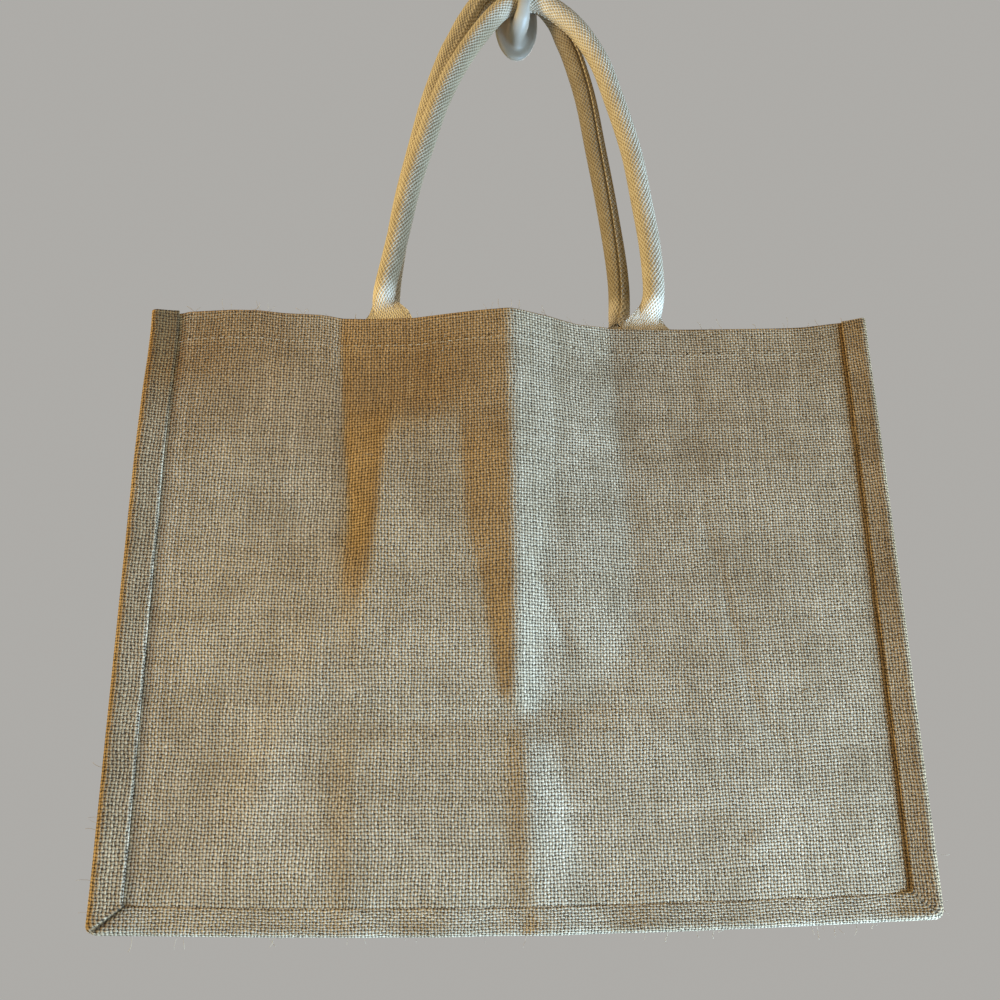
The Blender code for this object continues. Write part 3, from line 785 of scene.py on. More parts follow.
# %% Sheet tools
def only(thing):
    bpy.ops.object.select_all(action="DESELECT")
    thing.select_set(True)
    bpy.context.view_layer.objects.active = thing


def edit_all(thing, operator, **values):
    """Runs one operator of edit mode on the whole piece."""
    only(thing)
    bpy.ops.object.mode_set(mode="EDIT")
    bpy.ops.mesh.select_all(action="SELECT")
    operator(**values)
    bpy.ops.object.mode_set(mode="OBJECT")


def join_pieces(pieces, name):
    bpy.ops.object.select_all(action="DESELECT")
    for piece in pieces:
        piece.select_set(True)
    bpy.context.view_layer.objects.active = pieces[0]
    bpy.ops.object.join()
    joined = bpy.context.object
    joined.name = name
    joined.data.name = name
    return joined


def select_vertices(thing, test):
    """In edit mode, selects only the vertices that pass the test."""
    edited = bmesh.from_edit_mesh(thing.data)
    for element in (*edited.verts, *edited.edges, *edited.faces):
        element.select = False
    for vertex in edited.verts:
        vertex.select = bool(test(vertex))
    edited.select_flush(True)
    bmesh.update_edit_mesh(thing.data)


def lay_grid(name, points, flat_u, flat_v):
    """A grid mesh whose vertices lie at points[row, column], with the flat lengths as its UV map."""
    rows, columns = points.shape[:2]
    bpy.ops.object.select_all(action="DESELECT")
    bpy.ops.mesh.primitive_grid_add(x_subdivisions=columns - 1, y_subdivisions=rows - 1, size=2)
    sheet = bpy.context.object
    sheet.name = name
    sheet.data.name = name
    mesh = sheet.data
    flat = np.zeros(3 * len(mesh.vertices))
    mesh.vertices.foreach_get("co", flat)
    flat = flat.reshape(-1, 3)
    column = np.rint((flat[:, 0] + 1) / 2 * (columns - 1)).astype(int)
    row = np.rint((1 - flat[:, 1]) / 2 * (rows - 1)).astype(int)
    mesh.vertices.foreach_set("co", points[row, column].ravel())
    corner = np.zeros(len(mesh.loops), int)
    mesh.loops.foreach_get("vertex_index", corner)
    uv = np.stack((flat_u[row, column], flat_v[row, column]), axis=-1)[corner]
    mesh.uv_layers[0].name = "cloth"
    mesh.uv_layers[0].data.foreach_set("uv", uv.ravel())
    mesh.update()
    return sheet


def paint_wear(sheet, wear):
    """Painted shading at the grid's vertices, from an array of rows and columns."""
    layer = sheet.data.attributes.new("wear", "FLOAT", "POINT")
    # A grid's vertices run along its rows, and its first row is the last one of the arrays.
    layer.data.foreach_set("value", wear[::-1].ravel())


def soft_patch(across, below, place, size):
    """A soft oval patch, in mm."""
    return np.exp(-(((across - place[0]) / size[0]) ** 2) - ((below - place[1]) / size[1]) ** 2)


def use_modifier(thing, kind, **values):
    """Adds a modifier, sets its values and applies it."""
    only(thing)
    modifier = thing.modifiers.new(kind.lower(), kind)
    for key, value in values.items():
        setattr(modifier, key, value)
    bpy.ops.object.modifier_apply(modifier=modifier.name)


def thicken(sheet, thickness, offset):
    use_modifier(sheet, "SOLIDIFY", thickness=thickness, offset=offset, use_even_offset=False)
    only(sheet)
    bpy.ops.object.shade_smooth_by_angle(angle=math.radians(60))


def flat_lengths(points, axis):
    """Length along rows or columns of points, starting from the first."""
    step = np.linalg.norm(np.diff(points, axis=axis), axis=-1)
    zero = np.zeros_like(np.take(step, [0], axis=axis))
    return np.concatenate((zero, np.cumsum(step, axis=axis)), axis=axis)


print("sheet tools ready")

# %% [markdown]
# ## Panels
#
# A panel is one rectangle whose top edge is turned in by 20 mm. The grid runs from the raw edge of the
# hem, up inside the bag, over the top fold and down the outside to the bottom.

# %% Panels
GRID = 0.0024
HEM_GAP = 0.0002
HEM_ROWS = 9
FOLD_ROWS = 6
# The top edge rises a little towards its right end
RIM_RISE = 0.0018
RIM_START = 0.165
RIM_REACH = (0.045, 0.060)
# Painted light above 0 and painted shade below 0, such as the shade over the top left
WEAR_PATCHES = (
    # strength, place (across, below), size
    (0.30, (142.0, 300.0), (48.0, 24.0)),
    (0.22, (-130.0, 255.0), (30.0, 46.0)),
    (0.25, (21.0, 288.0), (13.0, 40.0)),
    (0.28, (122.0, 306.0), (9.0, 6.0)),
    (-0.52, (-190.0, 15.0), (50.0, 56.0)),
    (-0.36, (-145.0, 20.0), (50.0, 50.0)),
    (-0.40, (-52.0, 60.0), (30.0, 60.0)),
    (-0.35, (-5.0, 292.0), (6.0, 45.0)),
    (-0.08, (120.0, 40.0), (90.0, 60.0)),
    (-0.30, (188.0, 15.0), (26.0, 30.0)),
)
# The ridge's left flank is painted browner with shade where it is steeper than this, and above that height
# (mm)
SUNNED = 0.5
SUNNED_SLOPE = (0.09, 0.14)
SUNNED_ABOVE = (240.0, 20.0)
# Painted shadows on the front beside the bands' inner edges; at the right a real gap lies there too
BAND_SHADES = ((-0.55, -199.6, 2.2), (-0.75, 200.2, 2.0))
WEAR_STRIPES = ((-0.22, 103.0, 1.6), (-0.18, 112.5, 1.8), (0.12, -62.0, 1.2), (-0.12, -141.0, 1.4))


def panel_wear(across, below, inward):
    """Only the front gets painted light and shade, and a few narrow slanted stripes, darker and paler."""
    wear = 0 * across * below
    if inward > 0:
        for strength, place, size in WEAR_PATCHES:
            wear = wear + strength * soft_patch(across, below, place, size)
        ends = [front_y(0.001 * (across + step), 0.001 * below + 0 * across) for step in (-2, 2)]
        steep = ease(((ends[0] - ends[1]) / 0.004 - SUNNED_SLOPE[0]) / SUNNED_SLOPE[1])
        wear = wear - SUNNED * steep * ease((SUNNED_ABOVE[0] - below) / SUNNED_ABOVE[1])
        for strength, place, half in BAND_SHADES:
            wear = wear + strength * np.exp(-(((across - place) / half) ** 2))
        for strength, place, half in WEAR_STRIPES:
            fade = ease((205 - below) / 60)
            wear = wear + strength * fade * np.exp(-(((across - place + 0.03 * below) / half) ** 2))
    return wear


def panel_sheet(name, depth_at, inward):
    """inward is +1 where the inside of the bag is towards +Y, else -1."""
    edge = HALF_WIDTH - PANEL_INSET
    across = np.linspace(-edge, edge, round(2 * edge / GRID) + 1)
    bottom = BAG_HEIGHT - PANEL_INSET
    middle = CLOTH / 2
    turned = middle + SHEET + HEM_GAP
    fold_radius = (turned - middle) / 2
    rows = [(PANEL_DROP + HEM * share, turned) for share in np.linspace(1, 0.08, HEM_ROWS)]
    for angle in np.radians(np.linspace(0, 180, FOLD_ROWS)):
        down = PANEL_DROP + fold_radius * (1.2 - math.sin(angle))
        rows.append((down, (turned + middle) / 2 + fold_radius * math.cos(angle)))
    face_rows = round((bottom - 0.004) / GRID)
    rows += [(down, middle) for down in np.linspace(PANEL_DROP + 0.002, bottom, face_rows)]
    below = np.array([row[0] for row in rows])[:, None] + 0 * across
    offset = np.array([row[1] for row in rows])[:, None] + 0 * across
    # The bottom corners are cut off a little, inside the gusset's rounded corners.
    cut = PANEL_CORNER_CUT * np.clip((below - bottom + 0.005) / 0.005, 0, 1)
    place = np.clip(across + 0 * below, -edge + cut, edge - cut)
    y = depth_at(place, below) + inward * offset
    if inward > 0:
        below = below - RIM_RISE * ease((place - RIM_START) / RIM_REACH[0]) * ease(1 - below / RIM_REACH[1])
    points = on_bag(place, below, y)
    flat_v = -flat_lengths(points, 0)[:, len(across) // 2][:, None] + 0 * across
    sheet = lay_grid(name, points, across + 0 * below, flat_v)
    paint_wear(sheet, panel_wear(1000 * place, 1000 * below, inward))
    if inward < 0:
        edit_all(sheet, bpy.ops.mesh.flip_normals)
    thicken(sheet, SHEET, 0)
    print(name, len(sheet.data.polygons), "faces, cut", round(-flat_v[-1, 0], 3), "m long")
    return sheet


front_cloth = panel_sheet("front_cloth", front_y, 1)
back_cloth = panel_sheet("back_cloth", back_y, -1)

# %% [markdown]
# ## Gusset
#
# The gusset is one strip that makes the left side, the bottom and the right side. Its two long edges are
# turned under and sewn over the panels' edges, where they show as narrow bands, and its middle folds in
# between the panels. A section of half the strip is listed once and laid at every station of the path
# round the bag.

# %% Gusset section
STATION = 0.003
LEG_OFFSET = 0.0036
BAND_SPOTS = (
    # distance in from the bag's edge, offset inwards from the panel's outer face (mm)
    (4.0, -0.62), (6.5, -0.58), (9.5, -0.52), (12.4, -0.48), (13.2, -0.56),
    (13.45, -0.72), (13.42, -0.90), (13.0, -1.06), (11.8, -1.25), (9.6, -1.85),
    (7.2, -2.65), (5.0, -3.45), (3.4, -4.00), (2.1, -3.90), (1.1, -3.20),
    (0.45, -2.00), (0.15, -0.60), (0.15, 0.90), (0.6, 2.20), (1.5, 3.10),
    (2.8, 3.55),
)
LEG_INSETS = (0.003, 0.010, 0.020, 0.034, 0.048, 0.062, 0.076, 0.086, GUSSET_REACH)
FOLD_ANGLES = (30, 60, 90)
MIDDLE_RADIUS = GUSSET_FOLD_RADIUS - CLOTH / 2
BOTTOM_FACE = 0.0011
BOTTOM_KEPT = 0.25
BOTTOM_SUNK = 0.0013


def section_spots():
    """Half of the strip's section: (inset, offset from the face, offset from the middle fold, share)."""
    spots = [(0.001 * inset, 0.001 * offset, 0.0, 0.0) for inset, offset in BAND_SPOTS]
    start = LEG_INSETS[0]
    for inset in LEG_INSETS:
        share = (inset - start) / (GUSSET_REACH - start)
        spots.append((inset, LEG_OFFSET, -MIDDLE_RADIUS, share))
    for angle in FOLD_ANGLES:
        sine = math.sin(math.radians(angle))
        cosine = math.cos(math.radians(angle))
        spots.append((GUSSET_REACH + MIDDLE_RADIUS * sine, 0.0, -MIDDLE_RADIUS * cosine, 1.0))
    return spots


print(len(section_spots()), "spots in half a section")

# %% Gusset path
CORNER_STEPS = 8


def gathered(place, straight, shorter, inset):
    power = np.interp(inset, GATHER_INSETS, GATHER_POWERS)
    return place - (place / straight) ** power * shorter


def gusset_path(inset):
    """Places along the strip at one distance in from the bag's edge, from the top left to the top right."""
    radius = float(np.interp(inset, CORNER_INSETS, CORNER_RADII))
    side = BAG_HEIGHT - CORNER_RADII[0]
    half_bottom = HALF_WIDTH - CORNER_RADII[0]
    lost = inset + radius - CORNER_RADII[0]
    downs = np.linspace(0, side, round(side / STATION) + 1)
    left = [(-HALF_WIDTH + inset, gathered(below, side, lost, inset)) for below in downs]
    centre = (-HALF_WIDTH + inset + radius, BAG_HEIGHT - inset - radius)
    for step in range(1, CORNER_STEPS):
        angle = math.pi / 2 * step / CORNER_STEPS
        left.append((centre[0] - radius * math.cos(angle), centre[1] + radius * math.sin(angle)))
    bottom = []
    for across in np.linspace(-half_bottom, half_bottom, round(2 * half_bottom / STATION) + 1):
        moved = gathered(abs(across), half_bottom, lost, inset)
        bottom.append((math.copysign(moved, across), BAG_HEIGHT - inset))
    right = [(-across, below) for across, below in reversed(left)]
    return np.array(left + bottom + right)


LEFT_STATIONS = round((BAG_HEIGHT - CORNER_RADII[0]) / STATION) + 1
LEFT_CORNER = LEFT_STATIONS + CORNER_STEPS // 2 - 1
print("stations:", len(gusset_path(0)), "left corner at", LEFT_CORNER)

# %% [markdown]
# ### The strip
#
# The left side's band ends in a mitre: it is cut on the slant and lies over the bottom band, so a small
# step runs from the inner corner to the outer one. It is made by lifting the band towards the slant and
# dropping it again in one station. The right band stands a little off the panel along its inner edge, so
# a dark gap shows.

# %% Gusset strip
STRIP_SHEET = 0.0006
MITRE_LIFT = 0.0011
MITRE_REACH = 14
# Painted shadow by the mitre's step, on the four stations past the corner
MITRE_SHADE = (-1.9, -1.8, -1.2, -0.5)
RIGHT_GAP = 0.0005
GAP_FADE = 0.02
# In from the bag's edge: the end of the outer roll, the flat part's start and length, the inner fold
BAND_ROLL = 0.002
BAND_FLAT = (0.004, 0.0095)
BAND_FOLD = 0.0129
# From each corner inwards, the bottom band flattens over this length
CORNER_FADE = 0.025
# The left band is painted browner with shade near its top, and its inner edge is painted with dark shadow
# there and with a pale highlight below
LEFT_TOP_BROWN = 0.8
LEFT_TOP_SHARE = 0.24
LEFT_EDGE = (-1.5, 0.10)
LEFT_EDGE_SHARE = 0.34
# Painted light on the strip where it lies at the bottom, and how much painted shade browns it at the sides
STRIP_WEAR = (0.05, 0.62)


def gusset_wear(columns, numbers, plain):
    """The left band has its own painted shade and highlight, and a painted shadow lies by its mitre's step.
    """
    wear = np.outer(plain, np.ones(len(columns)))
    for column, ((inset, from_face, _, share), side) in enumerate(columns):
        if share or side < 0 or inset < BAND_ROLL:
            continue
        wear[:, column] -= LEFT_TOP_BROWN * ease(1 - numbers / (LEFT_TOP_SHARE * LEFT_CORNER))
        if from_face < -0.0006 and inset > BAND_FOLD:
            edge = blend(*LEFT_EDGE, ease(numbers / (LEFT_EDGE_SHARE * LEFT_CORNER)))
            wear[:, column] = np.where(numbers < LEFT_CORNER - 2, edge, wear[:, column])
        for step, dark in enumerate(MITRE_SHADE):
            wear[LEFT_CORNER + 1 + step, column] = dark
    return wear


def gusset_sheet():
    spots = section_spots()
    columns = [(spot, 1) for spot in spots] + [(spot, -1) for spot in reversed(spots[:-1])]
    lines = []
    for (inset, from_face, from_middle, share), side in columns:
        across, below = gusset_path(inset).T
        front = front_y(across, below)
        back = back_y(across, below)
        face = front if side > 0 else back
        number = np.arange(len(across))
        outside = max(0.0, min(1.0, -from_face / 0.0008))
        lift = MITRE_LIFT * ease(1 - (LEFT_CORNER - number) / MITRE_REACH) * (number <= LEFT_CORNER)
        inner_edge = ease((inset - BAND_FLAT[0]) / BAND_FLAT[1]) * (share == 0) * (from_face < 0)
        open_edge = RIGHT_GAP * inner_edge * (across > HALF_WIDTH - GAP_FADE) * ease(below / GAP_FADE)
        # The side bands' outer edges roll forward, and the bottom band lies nearly flat.
        on_bottom = ease((HALF_WIDTH - BAND_FLAT[0] - np.abs(across)) / CORNER_FADE) * (number > LEFT_CORNER)
        on_bottom = on_bottom * (number < len(across) - 1 - LEFT_CORNER)
        flatter = max(from_face, -BOTTOM_FACE) + BOTTOM_KEPT * min(from_face + BOTTOM_FACE, 0)
        flatter = flatter + BOTTOM_SUNK * (share == 0) * (side > 0)
        offset = blend(from_face, flatter, on_bottom) - outside * lift - open_edge
        y = blend(face + side * offset, (front + back) / 2 + side * from_middle, share)
        lines.append(on_bag(across, below, y))
    points = np.stack(lines, axis=1)
    width = flat_lengths(points, 1)[LEFT_STATIONS // 2]
    length = flat_lengths(points, 0)[:, BAND_SPOTS.index((2.1, -3.90))]
    # The bands' threads run square to their edges up to the mitres, so there the map follows the place.
    flat_v = length[:, None] + 0 * width
    numbers = np.arange(len(length))
    on_left = numbers <= LEFT_CORNER
    on_right = numbers >= len(length) - 1 - LEFT_CORNER
    for column, ((inset, _, _, share), _) in enumerate(columns):
        if share == 0:
            across, below = gusset_path(inset).T
            along_bottom = BAG_HEIGHT + HALF_WIDTH + across
            along_right = 2 * BAG_HEIGHT + 2 * HALF_WIDTH - below
            flat_v[:, column] = np.where(on_left, below, np.where(on_right, along_right, along_bottom))
    sheet = lay_grid("gusset_cloth", points, width + 0 * length[:, None], -flat_v)
    on_side = ease((LEFT_CORNER + 4 - numbers) / 8) + ease((numbers - len(length) + LEFT_CORNER + 5) / 8)
    paint_wear(sheet, gusset_wear(columns, numbers, STRIP_WEAR[0] - STRIP_WEAR[1] * on_side))
    edit_all(sheet, bpy.ops.mesh.normals_make_consistent, inside=False)
    thicken(sheet, STRIP_SHEET, 0)
    size = round(width[-1], 3), round(length[-1], 3)
    print("gusset strip", size, "m,", len(sheet.data.polygons), "faces")
    return sheet, float(width[-1]), float(length[-1])


gusset_cloth, gusset_width, gusset_length = gusset_sheet()

# %% [markdown]
# ## Sewing and loose fibres
#
# A straight row of stitches holds each hem down. On the cloth every stitch is a short thread that dips
# into the weave at both ends. Jute also sheds: short stiff hairs stand off its edges and its face. One
# stitch and one hair are modelled from thin cylinders that are cut across and bent. Each is then copied
# along the seam or the edges, and the copies are joined into one piece.

# %% One thread
def bent_thread(name, radius, length, sides, drops):
    """A thread along X. Outside each share of its half length it is cut across and drops further."""
    bpy.ops.object.select_all(action="DESELECT")
    bpy.ops.mesh.primitive_cylinder_add(
        vertices=sides, radius=radius, depth=length, location=(0, 0, 0), rotation=(0, math.pi / 2, 0),
    )
    made = bpy.context.object
    made.name = name
    bpy.ops.object.transform_apply(location=True, rotation=True, scale=True)
    bpy.ops.object.mode_set(mode="EDIT")
    for share, _ in drops:
        for side in (1, -1):
            bpy.ops.mesh.select_all(action="SELECT")
            bpy.ops.mesh.bisect(plane_co=(side * share * length / 2, 0, 0), plane_no=(1, 0, 0))
    for share, drop in drops:
        select_vertices(made, lambda vertex: abs(vertex.co.x) > share * length / 2 + 0.00001)
        bpy.ops.transform.translate(value=(0, drop, 0))
    bpy.ops.object.mode_set(mode="OBJECT")
    return made


def copy_along(model, name, placings):
    """Copies of the model, each with its own mesh, put at (place, turn, scale) and joined."""
    copies = []
    for place, turned, scale in placings:
        copied = model.copy()
        copied.data = model.data.copy()
        bpy.context.collection.objects.link(copied)
        copied.matrix_world = Matrix.Translation(place) @ turned.to_4x4() @ Matrix.Diagonal((*scale, 1))
        copies.append(copied)
    joined = join_pieces(copies, name)
    bpy.ops.object.transform_apply(location=True, rotation=True, scale=True)
    bpy.ops.object.shade_smooth()
    print(name, len(copies), "copies,", len(joined.data.polygons), "faces")
    return joined


# %% Hem stitches
STITCH_LENGTH = 0.0034
STITCH_RADIUS = 0.00030
STITCH_SUNK = 0.00022
STITCH_REACH = 0.0015
# How far a stitch strays along the seam and off it, and how far it turns (radians)
STITCH_STRAY = (0.0002, 0.00015, 0.08)
HEM_SEAM = 0.0195
SEAM_END = 0.002

stitch = bent_thread("stitch", STITCH_RADIUS, STITCH_LENGTH, 6, ((0.45, 0.00012), (0.75, 0.00032)))


def hem_stitches(name, depth_at, inward):
    chance = np.random.default_rng(5)
    edge = HALF_WIDTH - BAND_WIDTH - SEAM_END
    along, off, turn_by = STITCH_STRAY
    placings = []
    for across in np.arange(-edge, edge, STITCH_SPACING):
        across = across + chance.uniform(-along, along)
        below = HEM_SEAM + chance.uniform(-off, off)
        ends = [float(depth_at(np.array(across + step), below)) for step in (-STITCH_REACH, STITCH_REACH)]
        place = on_bag(np.array(across), below, np.array(sum(ends) / 2))
        turned = Matrix.Rotation(math.atan2(ends[1] - ends[0], 2 * STITCH_REACH), 3, "Z")
        turned = turned @ Matrix.Rotation(chance.uniform(-turn_by, turn_by), 3, "Y")
        placings.append((Vector(place) + Vector((0, inward * STITCH_SUNK, 0)), turned, (1, inward, 1)))
    return copy_along(stitch, name, placings)


front_stitches = hem_stitches("hem_stitches_front", front_y, 1)
back_stitches = hem_stitches("hem_stitches_back", back_y, -1)
bpy.data.objects.remove(stitch)

# %% Loose fibres
HAIR_RADIUS = 0.00009
HAIR_LENGTH = 0.005

hair = bent_thread("hair", HAIR_RADIUS, HAIR_LENGTH, 4, ((0.25, 0.00012), (0.5, 0.00025), (0.75, 0.0004)))
# piece, how many hairs stand off its edge, and which edge of the bag's face that is (right, up)
EDGE_HAIRS = (
    (front_cloth, 44, (0.0, 1.0)),
    (gusset_cloth, 46, (1.0, 0.0)),
    (gusset_cloth, 30, (-1.0, 0.0)),
    (gusset_cloth, 34, (0.0, -1.0)),
)
EDGE_SLICE = 0.004
EDGE_END = 0.006
FACE_HAIRS = 90
# The part of the face where hairs stand: across and below, from and to (mm)
FACE_PART = ((-195, 195), (10, 320))
# How far hairs stray from their way, on an edge and on the face
HAIR_SPREADS = (0.5, 0.25)
HAIR_FORWARD = 0.12
HAIR_SUNK = 0.0003
HAIR_LENGTHS = (0.003, 0.0075)
HAIR_CURLS = (0.6, 1.3)


def edge_roots(sheet, count, way, chance):
    """Places on the sheet that lie furthest out that way, each in a narrow slice of it chosen by chance."""
    points = np.array([corner.co for corner in sheet.data.vertices])
    outwards = points[:, 0] * way[0] + points[:, 2] * way[1]
    along = points[:, 0] * way[1] - points[:, 2] * way[0]
    roots = []
    for place in chance.uniform(along.min() + EDGE_END, along.max() - EDGE_END, count):
        near = np.flatnonzero(np.abs(along - place) < EDGE_SLICE)
        roots.append(Vector(points[near[np.argmax(outwards[near])]]))
    return roots


def loose_fibres():
    chance = np.random.default_rng(11)
    roots = []
    for sheet, count, way in EDGE_HAIRS:
        roots += [(root, way, HAIR_SPREADS[0]) for root in edge_roots(sheet, count, way, chance)]
    for _ in range(FACE_HAIRS):
        angle = chance.uniform(0, 2 * math.pi)
        across = np.array(0.001 * chance.uniform(*FACE_PART[0]))
        below = np.array(0.001 * chance.uniform(*FACE_PART[1]))
        root = Vector(on_bag(across, below, front_y(across, below)))
        roots.append((root, (math.cos(angle), math.sin(angle)), HAIR_SPREADS[1]))
    placings = []
    for root, way, spread in roots:
        length = chance.uniform(*HAIR_LENGTHS)
        lean = chance.normal(0, spread, 3)
        way = Vector((way[0] + lean[0], 0.35 * lean[1] - HAIR_FORWARD, way[1] + lean[2])).normalized()
        turned = way.to_track_quat("X", "Z").to_matrix() @ Matrix.Rotation(chance.uniform(0, 6.28), 3, "X")
        curl = chance.uniform(*HAIR_CURLS)
        middle = root + way * (length / 2 - HAIR_SUNK)
        placings.append((middle, turned, (length / HAIR_LENGTH, curl, curl)))
    return placings


fibres = copy_along(hair, "loose_fibres", loose_fibres())
bpy.data.objects.remove(hair)

# %% Sewing thread and hair material
THREAD_DARK = (0.34, 0.25, 0.15, 1)
THREAD_LIGHT = (0.60, 0.49, 0.34, 1)


def make_thread(name):
    made, wires, shader = start_material(name, 0.8)
    place = wires.put("ShaderNodeTexCoord").outputs["Object"]
    parts = wires.put("ShaderNodeSeparateXYZ", {"Vector": place}).outputs
    twisted = wires.scaled(parts["X"], 0.6, parts["Z"])
    streaks = wires.use(
        fibre_group, Place=wires.vector(parts["X"], twisted), Fineness=4200.0, Stretch=0.3,
    )["Streaks"]
    tone = wires.scaled(wires.noise(place, 160.0, 2.0, 0.5, "3D"), 0.6, streaks)
    colour = wires.colour(wires.smooth(tone, 0.45, 1.15), THREAD_DARK, THREAD_LIGHT)
    finish_material(wires, shader, colour, streaks, 0.0001, 0.8)
    return made


jute_thread = make_thread("jute_thread")
print("thread:", len(jute_thread.node_tree.nodes), "nodes")

# %% [markdown]
# ## Handles
#
# A handle is a strip of cotton webbing folded round a cord, with one edge lapped over the other and sewn.
# Near its ends the webbing opens and lies flat inside the hem. So each handle is a flat grid too: across
# its width it is rolled into a tube with a lapped lip, and towards the ends the roll opens into a flat
# strip.

# %% Handle measures
CORD_RADIUS = 0.0068
WEBBING = 0.0010
TAIL_HALF_WIDTH = 0.021
FLARE_HEIGHT = 0.019
FLARE_HALF_WIDTH = 0.0150
FLARE_DEPTH = 0.014
TAIL_REACH = 0.034
TAIL_OFFSET = 0.0031
LAP = 38.0
LAP_RISE = 0.0013
LAP_STEP = 12.0
# A leg's own painted shade starts this far from the middle
LEG_START = 0.03
ROLL_SPOTS = 45
# Painted light near an end, a painted highlight on the lapped lip's edge and a painted shadow under the lip:
# where each starts, how softly, and how strong it is
CLEAN_END = (0.064, 0.016, 0.9)
LIP_EDGE = (0.975, 0.020, 0.5)
LIP_SLIT = (0.107, 0.012, -1.45)
HANDLE_STEP = 0.0025
CURVE_STEPS = 24
FRONT_HANDLE_ROUTE = (
    # x, y, z (mm)
    (-85.0, -34.2, -262.0), (-87.0, -34.8, -246.0), (-81.2, -34.4, -213.5),
    (-71.8, -31.8, -163.7), (-63.4, -29.4, -131.2), (-54.0, -26.8, -96.6),
    (-39.8, -24.4, -61.3), (-20.5, -22.4, -27.5), (-7.0, -22.4, -12.6),
    (6.0, -23.6, -9.2), (18.4, -25.9, -13.7), (37.8, -27.3, -32.6),
    (53.1, -27.0, -59.3), (62.3, -26.3, -88.9), (72.1, -26.8, -130.6),
    (77.0, -27.6, -169.0), (80.7, -28.4, -205.8), (80.8, -29.2, -238.0),
    (75.5, -29.6, -262.0),
)
BACK_HANDLE_ROUTE = (
    # x, y, z (mm)
    (-84.0, -16.5, -262.0), (-84.8, -16.0, -235.0), (-82.0, -15.5, -205.0),
    (-76.5, -14.9, -165.0), (-67.2, -14.2, -119.5), (-59.8, -13.6, -85.8),
    (-49.4, -12.8, -51.0), (-42.2, -12.4, -33.2), (-34.6, -12.2, -16.2),
    (-23.8, -12.0, -0.2), (-3.0, -12.0, 8.0), (16.0, -11.9, -0.5),
    (27.1, -11.8, -15.0), (33.0, -11.8, -31.4), (38.2, -12.2, -48.3),
    (45.5, -13.0, -81.5), (50.8, -14.0, -121.8), (57.2, -15.0, -172.2),
    (61.5, -16.0, -222.5), (60.0, -16.5, -262.0),
)
SEAM_TURN_PLACES = (0.1, 0.25, 0.42, 0.62, 0.9)


def smooth_route(points_mm, step):
    """Points a step apart along a smooth curve through the route."""
    knots = np.array(points_mm) * 0.001
    padded = np.vstack((2 * knots[0] - knots[1], knots, 2 * knots[-1] - knots[-2]))
    fine = []
    for i in range(1, len(padded) - 2):
        before, start, end, after = padded[i - 1 : i + 3]
        for share in np.linspace(0, 1, CURVE_STEPS, endpoint=False):
            linear = (end - before) * share
            square = (2 * before - 5 * start + 4 * end - after) * share**2
            cube = (3 * start - before - 3 * end + after) * share**3
            fine.append(start + 0.5 * (linear + square + cube))
    fine.append(padded[-2])
    fine = np.array(fine)
    along = np.concatenate(((0,), np.cumsum(np.linalg.norm(np.diff(fine, axis=0), axis=1))))
    places = np.linspace(0, along[-1], round(along[-1] / step) + 1)
    return np.array([[np.interp(place, along, fine[:, axis]) for axis in range(3)] for place in places])


# %% Handles
def handle_centres(route_mm):
    route = smooth_route(route_mm, HANDLE_STEP)
    middle = route[route[:, 2] > BAG_TOP_Z + 0.0005]
    tails = []
    for end in (route[0], route[-1]):
        belows = np.arange(TAIL_REACH, 0.0004, -HANDLE_STEP)
        tails.append(np.array([(end[0], end[1], BAG_TOP_Z - below) for below in belows]))
    return np.vstack((tails[0], middle, tails[1][::-1]))


def handle_frames(centres, inward):
    """For each centre: the directions to the side and to the seam."""
    frames = []
    for i in range(len(centres)):
        before = Vector(centres[max(i - 2, 0)])
        after = Vector(centres[min(i + 2, len(centres) - 1)])
        along = (after - before).normalized()
        seam = Vector((0, inward, 0))
        seam = (seam - along * seam.dot(along)).normalized()
        side = along.cross(Vector((0, -1, 0))).normalized()
        frames.append((side, seam))
    return frames


